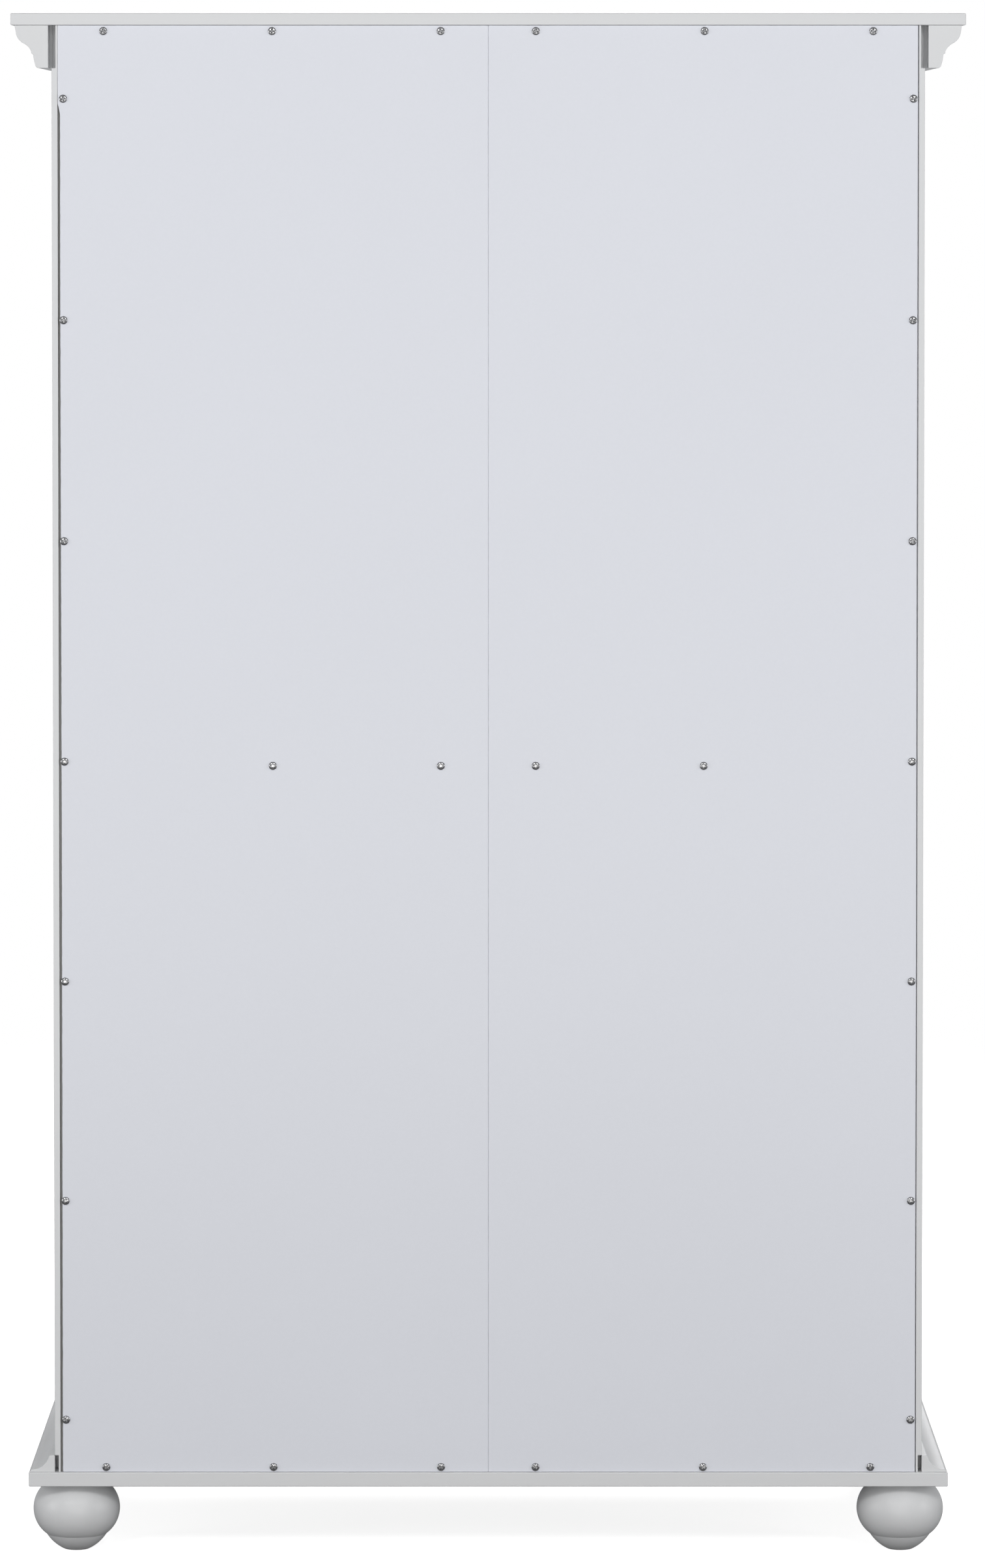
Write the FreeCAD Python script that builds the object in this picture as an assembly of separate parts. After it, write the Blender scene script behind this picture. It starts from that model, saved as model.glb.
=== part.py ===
"""Armoire: a painted cabinet on bun feet, with two framed doors over three drawers.

Millimetres, +Z up. The origin is on the floor under the middle of the cornice slab.
The doors and drawers face -Y, the screwed-on back faces +Y, and left is -X.
"""
import FreeCAD
import Part
import os

V = FreeCAD.Vector

# ---- Overall ----------------------------------------------------------------------------
OVERALL_WIDTH = 1124.0
OVERALL_DEPTH = 560.0
OVERALL_HEIGHT = 1828.0
REAR_SETBACK = 3.0              # the carcass stops this far short of the slab's rear edge

# ---- Cornice ----------------------------------------------------------------------------
SLAB_THICKNESS = 14.0
SLAB_EDGE_RADIUS = 1.2
SLAB_OVERHANG = 5.0             # past the widest line of the crown moulding
CROWN_HEIGHT = 50.5
CROWN_WIDTH = 43.0
CROWN_RELIEF = 4.0              # hollow in the return's inner face, at its rear end

# ---- Base and feet ----------------------------------------------------------------------
BASE_BOARD_THICKNESS = 17.0
BASE_BOARD_OVERHANG = 31.0
BASE_EDGE_RADIUS = 1.2
BASE_MOULDING_HEIGHT = 20.0
BASE_MOULDING_WIDTH = 30.0
CORNER_RELIEF_DEPTH = 4.6       # notch in the side's outer rear corner, behind each moulding
CORNER_RELIEF_LENGTH = 26.0
FOOT_HEIGHT = 83.0
FOOT_RADIUS = 51.5
FOOT_TOP_RADIUS = 29.5
FOOT_CREASE_RADIUS = 36.0
FOOT_PAD_RADIUS = 28.5          # half way up the pad
FOOT_FLOOR_RADIUS = 15.0
FOOT_PAD_HEIGHT = 18.5
FOOT_EDGE_INSET = 2.5           # from the base board's edges to the foot's widest line
STUD_RADIUS = 5.0
STUD_CLEARANCE = 0.1
STUD_DEPTH_IN_FOOT = 40.0

# ---- Carcass ----------------------------------------------------------------------------
SIDE_THICKNESS = 20.0
SIDE_STILE_WIDTH = 70.0
SIDE_TOP_RAIL = 96.0
SIDE_MIDDLE_RAIL = 80.0
SIDE_BOTTOM_RAIL = 90.0
SIDE_LIP = 7.0                  # left standing outside the back panel's rebate
BOARD_THICKNESS = 18.0          # bottom, middle and top panels
MIDDLE_PANEL_TOP = 949.0
BACK_THICKNESS = 6.0
BACK_EDGE_GAP = 2.5             # between the back and the side's lip
BACK_END_GAP = 0.2              # between the back and the boards above and below it
BACK_SEAM_GAP = 1.2
BATTEN_WIDTH = 44.0
BATTEN_THICKNESS = 12.0

# ---- Face frame -------------------------------------------------------------------------
FACE_THICKNESS = 20.0
FACE_STILE_WIDTH = 45.0
FACE_TOP_RAIL = 70.0
FACE_MIDDLE_RAIL = 40.0
FACE_BOTTOM_RAIL = 40.0
DRAWER_RAIL = 22.0

# ---- Frame-and-panel joinery ------------------------------------------------------------
STICKING_WIDTH = 6.0            # bevel round a frame's opening
STICKING_DEPTH = 5.0
GROOVE_DEPTH = 10.0
TONGUE_THICKNESS = 6.0
TONGUE_SETBACK = 7.0            # from the frame's face to the tongue
PANEL_PLAY = 1.5                # room for the panel to swell in its groove
PANEL_BEVEL_WIDTH = 34.0
PANEL_BEVEL_RISE = 3.5
PANEL_STEP = 1.5

# ---- Doors ------------------------------------------------------------------------------
DOOR_GAP = 2.0
MEETING_GAP = 3.0
DOOR_STILE_WIDTH = 62.0
DOOR_TOP_RAIL = 62.0
DOOR_BOTTOM_RAIL = 78.0
DOOR_KNOB_HEIGHT = 330.0        # above the door's lower edge
KNOB_RADIUS = 16.0
KNOB_LENGTH = 28.0
KNOB_CROWN = 8.6                # from the knob's widest line to its end
KNOB_FLAT_RADIUS = 3.0
KNOB_ROSE_RADIUS = 10.0
KNOB_ROSE_HEIGHT = 3.0
KNOB_NECK_RADIUS = 6.5
KNOB_SHANK_RADIUS = 4.0
KNOB_SHANK_LENGTH = 13.0
SHANK_CLEARANCE = 0.1

# ---- Hinges and catches -----------------------------------------------------------------
HINGE_COUNT = 3
HINGE_HEIGHT = 76.0
HINGE_END_DISTANCE = 95.0       # from the door's end to the hinge's middle
KNUCKLE_COUNT = 5
KNUCKLE_RADIUS = 4.0
KNUCKLE_PLAY = 0.3
PIN_RADIUS = 2.0
PIN_CLEARANCE = 0.05
KNUCKLE_STANDOFF = 0.3          # from the face of the door to the knuckles
LEAF_THICKNESS = 2.0
LEAF_LENGTH = 18.0              # behind the face of the door
LEAF_PLAY = 0.2
FINIAL_RADIUS = 3.4
CATCH_SIZE = V(46.0, 20.0, 14.0)
CATCH_DISTANCE = 54.0           # from the meeting line to the catch's middle
CATCH_GAP = 0.3
STRIKE_SIZE = V(40.0, 1.5, 10.0)
STRIKE_LIFT = 2.0               # from the door's lower edge to the strike

# ---- Hanging rail -----------------------------------------------------------------------
RAIL_RADIUS = 12.5
RAIL_WALL = 1.5
RAIL_CLEARANCE = 0.1
RAIL_DROP = 50.0                # from the top panel's underside to the rail's axis
SOCKET_FLANGE_WIDTH = 6.4       # round the cup
SOCKET_FLANGE = 3.0
SOCKET_CUP_LENGTH = 14.0
SOCKET_WALL = 3.0

# ---- Drawers ----------------------------------------------------------------------------
DRAWER_COUNT = 3
DRAWER_GAP = 2.0
DRAWER_FRONT_THICKNESS = 20.0
DRAWER_FRONT_BORDER = 6.0
DRAWER_BEVEL_WIDTH = 22.0
DRAWER_BEVEL_RISE = 3.5
DRAWER_STEP = 1.5
DRAWER_REAR_GAP = 31.0          # behind the box, to the batten on the back
DRAWER_BOX_CLEARANCE = 3.0      # each side, between the box and the packers
DRAWER_BOX_LIFT = 14.0          # from the opening's lower edge to the box
DRAWER_BOX_HEADROOM = 30.0      # from the box to the opening's upper edge
DRAWER_SIDE_THICKNESS = 14.0
DRAWER_BOTTOM_THICKNESS = 6.0
DRAWER_BOTTOM_LIFT = 12.0       # from the box's lower edge to the bottom
DRAWER_BOTTOM_GROOVE = 6.0
DRAWER_BACK_DROP = 12.0         # the back is this much lower than the sides
DRAWER_KNOB_INSET = 232.0       # from the front's end to the knob's axis
PACKER_HEIGHT = 60.0
PACKER_REAR_GAP = 12.0
RUNNER_HEIGHT = 16.0
RUNNER_REACH = 9.5
RUNNER_PLAY = 0.3
RUNNER_END_PLAY = 0.5
RUNNER_STOP = 40.0              # from the front's inner face to the groove's closed end

# ---- Back screws ------------------------------------------------------------------------
SCREW_HEAD_RADIUS = 4.4
SCREW_HEAD_HEIGHT = 2.2
SCREW_HEAD_RIM = 0.7
SCREW_FLAT_RADIUS = 3.1
SCREW_TIP_RADIUS = 0.4
SCREW_RADIUS = 1.9
SCREW_LENGTH = 28.0
SCREW_CLEARANCE = 0.1
SCREW_RECESS_LENGTH = 5.0
SCREW_RECESS_WIDTH = 1.1
SCREW_RECESS_DEPTH = 1.2
SCREW_COLUMN_COUNT = 7
SCREW_COLUMN_LOW = 62.5         # from the carcass's underside to the lowest screw
SCREW_COLUMN_HIGH = 86.5        # from the carcass's upper edge down to the highest screw
SCREW_COLUMN_INSET = 4.0        # from the back's outer edge
SCREW_BOTTOM_ROW = 6.0          # from the carcass's underside to the lowest row
SCREW_TOP_ROW = 7.0             # from the carcass's upper edge down to the highest row
SCREW_ROW_FIRST = 56.0          # from the seam to the first screw of a row
SCREW_ROW_PITCH = 198.5

# ---- Derived places ---------------------------------------------------------------------
X_SIDE = OVERALL_WIDTH / 2 - SLAB_OVERHANG - CROWN_WIDTH
X_INNER = X_SIDE - SIDE_THICKNESS
X_OPENING = X_SIDE - FACE_STILE_WIDTH
Y_FRONT = -OVERALL_DEPTH / 2 + SLAB_OVERHANG + CROWN_WIDTH
Y_FRAME_BACK = Y_FRONT + FACE_THICKNESS
Y_REAR = OVERALL_DEPTH / 2 - REAR_SETBACK
Y_BACK_PANEL = Y_REAR - BACK_THICKNESS
Z_CARCASS = FOOT_HEIGHT + BASE_BOARD_THICKNESS
Z_SLAB = OVERALL_HEIGHT - SLAB_THICKNESS
Z_DOOR_OPENING = MIDDLE_PANEL_TOP
Z_DOOR_OPENING_TOP = Z_SLAB - FACE_TOP_RAIL
Z_DRAWERS = Z_CARCASS + FACE_BOTTOM_RAIL
Z_DRAWERS_TOP = MIDDLE_PANEL_TOP - FACE_MIDDLE_RAIL
DRAWER_OPENING = (Z_DRAWERS_TOP - Z_DRAWERS - (DRAWER_COUNT - 1) * DRAWER_RAIL) / DRAWER_COUNT
X_PIN = X_OPENING - DOOR_GAP / 2
Y_PIN = Y_FRONT - KNUCKLE_STANDOFF - KNUCKLE_RADIUS
X_BACK_EDGE = X_SIDE - SIDE_LIP - BACK_EDGE_GAP
Z_RAIL = Z_SLAB - BOARD_THICKNESS - RAIL_DROP
Y_RAIL = (Y_FRAME_BACK + Y_BACK_PANEL) / 2


# ---- Shapes used by several pieces ------------------------------------------------------
def block(x0, x1, y0, y1, z0, z1):
    """A box between two corners."""
    return Part.makeBox(x1 - x0, y1 - y0, z1 - z0, V(x0, y0, z0))


def rod(radius, start, end):
    """A round bar between two points."""
    along = end - start
    return Part.makeCylinder(radius, along.Length, start, along)


def frustum(near, far, y_near, y_far):
    """A solid between two rectangles (x0, x1, z0, z1) at two depths."""
    return Part.makeWedge(
        near[0], y_near, near[2], far[2], far[0],
        near[1], y_far, near[3], far[3], far[1])


def grown(rectangle, amount):
    """A rectangle (x0, x1, z0, z1) made larger all round."""
    x0, x1, z0, z1 = rectangle
    return (x0 - amount, x1 + amount, z0 - amount, z1 + amount)


def mirrored(shape):
    """The same piece on the other side of the cabinet."""
    return shape.mirror(V(0, 0, 0), V(1, 0, 0))


def fused(*shapes):
    """One clean solid from shapes that meet."""
    return shapes[0].multiFuse(list(shapes[1:])).removeSplitter()


def without(shape, cutters):
    """A piece with holes, grooves or pockets taken out."""
    return shape.cut(Part.makeCompound(cutters))


def outline(steps):
    """A closed face in the XZ plane: each step is a line's end, or an arc's middle and end."""
    edges = []
    here = V(steps[0][0], 0, steps[0][1])
    for step in steps[1:]:
        end = V(step[-2], 0, step[-1])
        if len(step) == 4:
            middle = V(step[0], 0, step[1])
            edges.append(Part.Arc(here, middle, end).toShape())
        else:
            edges.append(Part.makeLine(here, end))
        here = end
    edges.append(Part.makeLine(here, V(steps[0][0], 0, steps[0][1])))
    return Part.Face(Part.Wire(edges))


def turned(steps):
    """A turned solid about the Z axis, from an outline that starts and ends on the axis."""
    return outline(steps).revolve(V(0, 0, 0), V(0, 0, 1), 360)


def facing_front(shape):
    """Lays a solid turned about +Z down, so that +Z points out of the cabinet's front."""
    return shape.rotated(V(0, 0, 0), V(1, 0, 0), 90)


def moved(shape, x, y, z):
    """A copy of the shape at another place."""
    return shape.translated(V(x, y, z))


# ---- Mouldings --------------------------------------------------------------------------
def crown_profile():
    """Section of the crown: x is the reach from the carcass, z is measured from the slab."""
    width = CROWN_WIDTH
    height = CROWN_HEIGHT
    return [
        (0, 0),
        (width, 0),
        (width, -2.5),
        (width - 1.0, -8.0),
        (width - 3.9, -16.0, width - 10.5, -21.6),
        (width - 16.5, -26.4, width - 19.2, -31.0),
        (width - 19.2, -33.0),
        (width - 21.5, -34.5),
        (width - 22.3, -41.0, width - 23.8, -height + 4.0),
        (width - 25.2, -height + 1.2, width - 28.5, -height),
        (0, -height),
    ]


def base_moulding_profile():
    """Section of the base moulding: x is the reach from the carcass, z from the base board."""
    width = BASE_MOULDING_WIDTH
    height = BASE_MOULDING_HEIGHT
    return [
        (0, 0),
        (width, 0),
        (width - 2.5, 3.4),
        (width - 5.5, 3.4),
        (width - 16.8, 8.6, width - 23.0, height - 1.0),
        (width - 24.4, height),
        (0, height),
    ]


def mitred_mouldings(profile, width, z):
    """The left return and the front piece of a moulding that meet in a mitre."""
    section = outline(profile)
    low = section.BoundBox.ZMin + z
    tall = section.BoundBox.ZLength
    corner = V(-X_SIDE, Y_FRONT, low)
    far_corner = V(-X_SIDE - width, Y_FRONT - width, low)

    run = section.translated(V(0, Y_FRONT - width, z)).extrude(V(0, Y_REAR - Y_FRONT + width, 0))
    left = mirrored(run.translated(V(X_SIDE, 0, 0)))
    keep = Part.makePolygon([
        corner,
        far_corner,
        V(-X_SIDE - width, Y_REAR, low),
        V(-X_SIDE, Y_REAR, low),
        corner])
    left = left.common(Part.Face(keep).extrude(V(0, 0, tall)))

    across = section.rotated(V(0, 0, 0), V(0, 0, 1), -90)
    across = across.translated(V(-X_SIDE - width, Y_FRONT, z))
    across = across.extrude(V(2 * (X_SIDE + width), 0, 0))
    keep = Part.makePolygon([
        corner,
        V(X_SIDE, Y_FRONT, low),
        V(X_SIDE + width, Y_FRONT - width, low),
        far_corner,
        corner])
    front = across.common(Part.Face(keep).extrude(V(0, 0, tall)))
    return left, front


def make_crown():
    """Crown mouldings; the returns are hollowed behind at their rear ends."""
    left, front = mitred_mouldings(crown_profile(), CROWN_WIDTH, Z_SLAB)
    hollow = block(
        -X_SIDE - CROWN_RELIEF, -X_SIDE,
        Y_REAR - CORNER_RELIEF_LENGTH, Y_REAR,
        Z_SLAB - CROWN_HEIGHT, Z_SLAB)
    left = left.cut(hollow)
    return {
        "crown_moulding_left": left,
        "crown_moulding_right": mirrored(left),
        "crown_moulding_front": front,
    }


def make_base_mouldings():
    """Cove mouldings round the foot of the carcass."""
    left, front = mitred_mouldings(base_moulding_profile(), BASE_MOULDING_WIDTH, Z_CARCASS)
    return {
        "base_moulding_left": left,
        "base_moulding_right": mirrored(left),
        "base_moulding_front": front,
    }


# ---- Flat boards ------------------------------------------------------------------------
def make_cornice_slab():
    """Top board that covers the carcass and the crown moulding."""
    slab = block(
        -OVERALL_WIDTH / 2, OVERALL_WIDTH / 2,
        -OVERALL_DEPTH / 2, OVERALL_DEPTH / 2,
        Z_SLAB, OVERALL_HEIGHT)
    return slab.makeFillet(SLAB_EDGE_RADIUS, slab.Edges)


def foot_axes():
    """Where the feet stand, as (name, x, y)."""
    inset = FOOT_EDGE_INSET + FOOT_RADIUS
    x = X_SIDE + BASE_BOARD_OVERHANG - inset
    y_front = Y_FRONT - BASE_BOARD_OVERHANG + inset
    y_rear = OVERALL_DEPTH / 2 - inset
    return [
        ("foot_front_left", -x, y_front),
        ("foot_front_right", x, y_front),
        ("foot_rear_left", -x, y_rear),
        ("foot_rear_right", x, y_rear),
    ]


def make_base_board():
    """Board on the feet that carries the carcass, bored for the foot studs."""
    reach = X_SIDE + BASE_BOARD_OVERHANG
    board = block(
        -reach, reach,
        Y_FRONT - BASE_BOARD_OVERHANG, OVERALL_DEPTH / 2,
        FOOT_HEIGHT, Z_CARCASS)
    board = board.makeFillet(BASE_EDGE_RADIUS, board.Edges)
    bores = [
        rod(STUD_RADIUS + STUD_CLEARANCE, V(x, y, FOOT_HEIGHT), V(x, y, Z_CARCASS))
        for name, x, y in foot_axes()]
    return without(board, bores)


def make_feet():
    """Turned bun feet, each over a smaller pad, bored for its stud."""
    belly = (FOOT_HEIGHT + FOOT_PAD_HEIGHT) / 2
    bore = rod(
        STUD_RADIUS + STUD_CLEARANCE,
        V(0, 0, FOOT_HEIGHT - STUD_DEPTH_IN_FOOT),
        V(0, 0, FOOT_HEIGHT))
    foot = turned([
        (0, 0),
        (FOOT_FLOOR_RADIUS, 0),
        (FOOT_PAD_RADIUS, FOOT_PAD_HEIGHT / 2, FOOT_CREASE_RADIUS, FOOT_PAD_HEIGHT),
        (FOOT_RADIUS, belly, FOOT_TOP_RADIUS, FOOT_HEIGHT),
        (0, FOOT_HEIGHT),
    ]).cut(bore)
    return {name: moved(foot, x, y, 0) for name, x, y in foot_axes()}


def make_foot_studs():
    """Threaded studs that join the feet to the base board."""
    low = FOOT_HEIGHT - STUD_DEPTH_IN_FOOT
    return Part.makeCompound([
        rod(STUD_RADIUS, V(x, y, low), V(x, y, Z_CARCASS))
        for name, x, y in foot_axes()])


def inner_board(z_low, z_high, pilots):
    """A fixed horizontal panel inside the carcass, with its pilot holes."""
    board = block(-X_INNER, X_INNER, Y_FRAME_BACK, Y_BACK_PANEL, z_low, z_high)
    return without(board, pilots)


# ---- Frame-and-panel work ---------------------------------------------------------------
def raised_panel(opening):
    """A fielded panel facing -Y, in a frame whose face is at y = 0."""
    edge = grown(opening, GROOVE_DEPTH - PANEL_PLAY)
    tongue = block(
        edge[0], edge[1],
        TONGUE_SETBACK, TONGUE_SETBACK + TONGUE_THICKNESS,
        edge[2], edge[3])
    field = grown(opening, -PANEL_BEVEL_WIDTH)
    bevel = frustum(
        field, opening,
        TONGUE_SETBACK - PANEL_BEVEL_RISE, TONGUE_SETBACK)
    raised = block(
        field[0], field[1],
        TONGUE_SETBACK - PANEL_BEVEL_RISE - PANEL_STEP, TONGUE_SETBACK,
        field[2], field[3])
    return fused(tongue, bevel, raised)


def panelled_frame(width, thickness, z_low, z_high, stile, openings):
    """Stiles, rails and panels of a frame that starts at x = 0 with its face at y = 0."""
    frame = block(0, width, 0, thickness, z_low, z_high)
    cutters = []
    panels = []
    for z0, z1 in openings:
        opening = (stile, width - stile, z0, z1)
        groove = grown(opening, GROOVE_DEPTH)
        cutters.append(block(opening[0], opening[1], 0, thickness, z0, z1))
        cutters.append(frustum(
            grown(opening, STICKING_WIDTH), opening,
            0, STICKING_DEPTH))
        cutters.append(block(
            groove[0], groove[1],
            TONGUE_SETBACK, TONGUE_SETBACK + TONGUE_THICKNESS,
            groove[2], groove[3]))
        panels.append(raised_panel(opening))
    for cutter in cutters:
        frame = frame.cut(cutter)
    stiles = [
        frame.common(block(0, stile, 0, thickness, z_low, z_high)),
        frame.common(block(width - stile, width, 0, thickness, z_low, z_high))]
    rails = frame.common(block(stile, width - stile, 0, thickness, z_low, z_high))
    return stiles, rails.Solids, panels


# ---- Back screws ------------------------------------------------------------------------
def row_places(count_left_out=0):
    """How far from the seam the screws of a horizontal row stand."""
    room = X_INNER - SCREW_ROW_FIRST - SIDE_THICKNESS
    count = int(room / SCREW_ROW_PITCH) + 1
    return [SCREW_ROW_FIRST + i * SCREW_ROW_PITCH for i in range(count - count_left_out)]


def screw_places():
    """Every back screw on the +X half, as (x, z)."""
    low = Z_CARCASS + SCREW_COLUMN_LOW
    high = Z_SLAB - SCREW_COLUMN_HIGH
    step = (high - low) / (SCREW_COLUMN_COUNT - 1)
    column = X_BACK_EDGE - SCREW_COLUMN_INSET
    places = [(column, low + i * step) for i in range(SCREW_COLUMN_COUNT)]
    rows = [
        (Z_CARCASS + SCREW_BOTTOM_ROW, 0),
        (MIDDLE_PANEL_TOP - BOARD_THICKNESS / 2, 1),
        (Z_SLAB - SCREW_TOP_ROW, 0)]
    for z, left_out in rows:
        places += [(x, z) for x in row_places(left_out)]
    return places


def back_screw():
    """A pan-head screw driven towards -Y, with the underside of its head at y = 0."""
    body = turned([
        (0, -SCREW_LENGTH),
        (SCREW_TIP_RADIUS, -SCREW_LENGTH),
        (SCREW_RADIUS, SCREW_RADIUS * 2 - SCREW_LENGTH),
        (SCREW_RADIUS, 0),
        (SCREW_HEAD_RADIUS, 0),
        (SCREW_HEAD_RADIUS, SCREW_HEAD_RIM),
        (SCREW_FLAT_RADIUS, SCREW_HEAD_HEIGHT),
        (0, SCREW_HEAD_HEIGHT),
    ])
    recess_floor = SCREW_HEAD_HEIGHT - SCREW_RECESS_DEPTH
    above = SCREW_HEAD_HEIGHT + SCREW_RECESS_DEPTH
    half_long = SCREW_RECESS_LENGTH / 2
    half_wide = SCREW_RECESS_WIDTH / 2
    screw = body.cut(block(-half_long, half_long, -half_wide, half_wide, recess_floor, above))
    screw = screw.cut(block(-half_wide, half_wide, -half_long, half_long, recess_floor, above))
    return screw.removeSplitter().rotated(V(0, 0, 0), V(1, 0, 0), -90)


def make_back_screws():
    """All the screws that hold the back on."""
    one = back_screw()
    screws = []
    for x, z in screw_places():
        screws.append(moved(one, x, Y_REAR, z))
        screws.append(moved(one, -x, Y_REAR, z))
    return Part.makeCompound(screws)


def pilot_holes():
    """A hole for every back screw, through the back and on into the carcass."""
    start = Y_REAR - SCREW_LENGTH - SCREW_CLEARANCE
    radius = SCREW_RADIUS + SCREW_CLEARANCE
    return [
        rod(radius, V(side * x, start, z), V(side * x, Y_REAR, z))
        for x, z in screw_places()
        for side in (-1, 1)]


# ---- Carcass ----------------------------------------------------------------------------
def make_sides(pilots):
    """Framed sides, with the rebate for the back and the relief behind the mouldings."""
    width = Y_REAR - Y_FRAME_BACK
    middle = MIDDLE_PANEL_TOP - BOARD_THICKNESS / 2
    openings = [
        (Z_CARCASS + SIDE_BOTTOM_RAIL, middle - SIDE_MIDDLE_RAIL / 2),
        (middle + SIDE_MIDDLE_RAIL / 2, Z_SLAB - SIDE_TOP_RAIL)]
    stiles, rails, panels = panelled_frame(
        width, SIDE_THICKNESS, Z_CARCASS, Z_SLAB, SIDE_STILE_WIDTH, openings)

    def place(shape):
        """From the frame's own axes to the left side, with its face to -X."""
        upright = shape.rotated(V(0, 0, 0), V(0, 0, 1), -90)
        return upright.translated(V(-X_SIDE, Y_REAR, 0))

    x_rebate = X_SIDE - SIDE_LIP
    cutters = [block(-x_rebate, -X_INNER, Y_BACK_PANEL, Y_REAR, Z_CARCASS, Z_SLAB)]
    reliefs = [
        (Z_CARCASS, Z_CARCASS + BASE_MOULDING_HEIGHT),
        (Z_SLAB - CROWN_HEIGHT, Z_SLAB)]
    for z0, z1 in reliefs:
        cutters.append(block(
            -X_SIDE, -X_SIDE + CORNER_RELIEF_DEPTH,
            Y_REAR - CORNER_RELIEF_LENGTH, Y_REAR, z0, z1))
    frame = []
    for piece in stiles + rails:
        piece = place(piece)
        for cutter in cutters:
            piece = piece.cut(cutter)
        frame.append(without(piece, pilots))
    left = Part.makeCompound(frame)
    left_panels = Part.makeCompound([place(panel) for panel in panels])
    return {
        "side_frame_left": left,
        "side_frame_right": mirrored(left),
        "side_panels_left": left_panels,
        "side_panels_right": mirrored(left_panels),
    }


def make_back(pilots):
    """The two back panels and the batten behind their seam."""
    panel = block(
        BACK_SEAM_GAP / 2, X_BACK_EDGE,
        Y_BACK_PANEL, Y_REAR,
        Z_CARCASS + BACK_END_GAP, Z_SLAB - BACK_END_GAP)
    panel = without(panel, pilots)
    middle_low = MIDDLE_PANEL_TOP - BOARD_THICKNESS
    spans = [
        (Z_CARCASS + BOARD_THICKNESS, middle_low),
        (MIDDLE_PANEL_TOP, Z_SLAB - BOARD_THICKNESS)]
    battens = [
        block(
            -BATTEN_WIDTH / 2, BATTEN_WIDTH / 2,
            Y_BACK_PANEL - BATTEN_THICKNESS, Y_BACK_PANEL, z0, z1)
        for z0, z1 in spans]
    return {
        "back_panel_right": panel,
        "back_panel_left": mirrored(panel),
        "back_seam_batten": Part.makeCompound(battens),
    }


# ---- Hinges -----------------------------------------------------------------------------
def hinge_heights():
    """Middle height of each hinge of a door."""
    low = Z_DOOR_OPENING + DOOR_GAP + HINGE_END_DISTANCE
    high = Z_DOOR_OPENING_TOP - DOOR_GAP - HINGE_END_DISTANCE
    step = (high - low) / (HINGE_COUNT - 1)
    return [low + i * step for i in range(HINGE_COUNT)]


def hinge_leaf(side, z_middle, first_knuckle):
    """One leaf of a left-hand hinge; side is -1 for the frame's leaf and 1 for the door's."""
    z0 = z_middle - HINGE_HEIGHT / 2
    pitch = HINGE_HEIGHT / KNUCKLE_COUNT
    near = -X_PIN + side * LEAF_PLAY / 2
    far = near + side * LEAF_THICKNESS
    plate = block(
        min(near, far), max(near, far),
        Y_PIN, Y_FRONT + LEAF_LENGTH,
        z0, z0 + HINGE_HEIGHT)
    own = []
    others = []
    for index in range(KNUCKLE_COUNT):
        low = V(-X_PIN, Y_PIN, z0 + index * pitch)
        high = V(-X_PIN, Y_PIN, z0 + (index + 1) * pitch)
        if index % 2 == first_knuckle:
            play = V(0, 0, KNUCKLE_PLAY / 2)
            own.append(rod(KNUCKLE_RADIUS, low + play, high - play))
        else:
            others.append(rod(KNUCKLE_RADIUS + KNUCKLE_PLAY, low, high))
    leaf = fused(without(plate, others), *own)
    bore = rod(
        PIN_RADIUS + PIN_CLEARANCE,
        V(-X_PIN, Y_PIN, z0), V(-X_PIN, Y_PIN, z0 + HINGE_HEIGHT))
    return leaf.cut(bore)


def hinge_pockets(side):
    """Shallow mortises for the leaves, in the edge of the stile on one side of the gap."""
    near = -X_PIN
    far = -X_PIN + side * (LEAF_PLAY / 2 + LEAF_THICKNESS)
    return [
        block(
            min(near, far), max(near, far),
            Y_FRONT, Y_FRONT + LEAF_LENGTH + LEAF_PLAY,
            z - HINGE_HEIGHT / 2 - LEAF_PLAY, z + HINGE_HEIGHT / 2 + LEAF_PLAY)
        for z in hinge_heights()]


def hinge_pin(z_middle):
    """A hinge pin with a ball at each end."""
    half = HINGE_HEIGHT / 2
    collar = 1.0
    ball_height = half + collar + FINIAL_RADIUS * 0.8
    pin = rod(PIN_RADIUS, V(0, 0, -half - collar), V(0, 0, half + collar))
    pieces = [pin]
    for end in (-1, 1):
        pieces.append(rod(FINIAL_RADIUS, V(0, 0, end * half), V(0, 0, end * (half + collar))))
        pieces.append(Part.makeSphere(FINIAL_RADIUS, V(0, 0, end * ball_height)))
    return moved(fused(*pieces), -X_PIN, Y_PIN, z_middle)


def make_hinges():
    """The leaves screwed to the face frame, and the pins of both doors."""
    left_leaves = [hinge_leaf(-1, z, 0) for z in hinge_heights()]
    left_pins = [hinge_pin(z) for z in hinge_heights()]
    return {
        "hinge_frame_leaves": Part.makeCompound(left_leaves + [mirrored(s) for s in left_leaves]),
        "hinge_pins": Part.makeCompound(left_pins + [mirrored(s) for s in left_pins]),
    }


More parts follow.
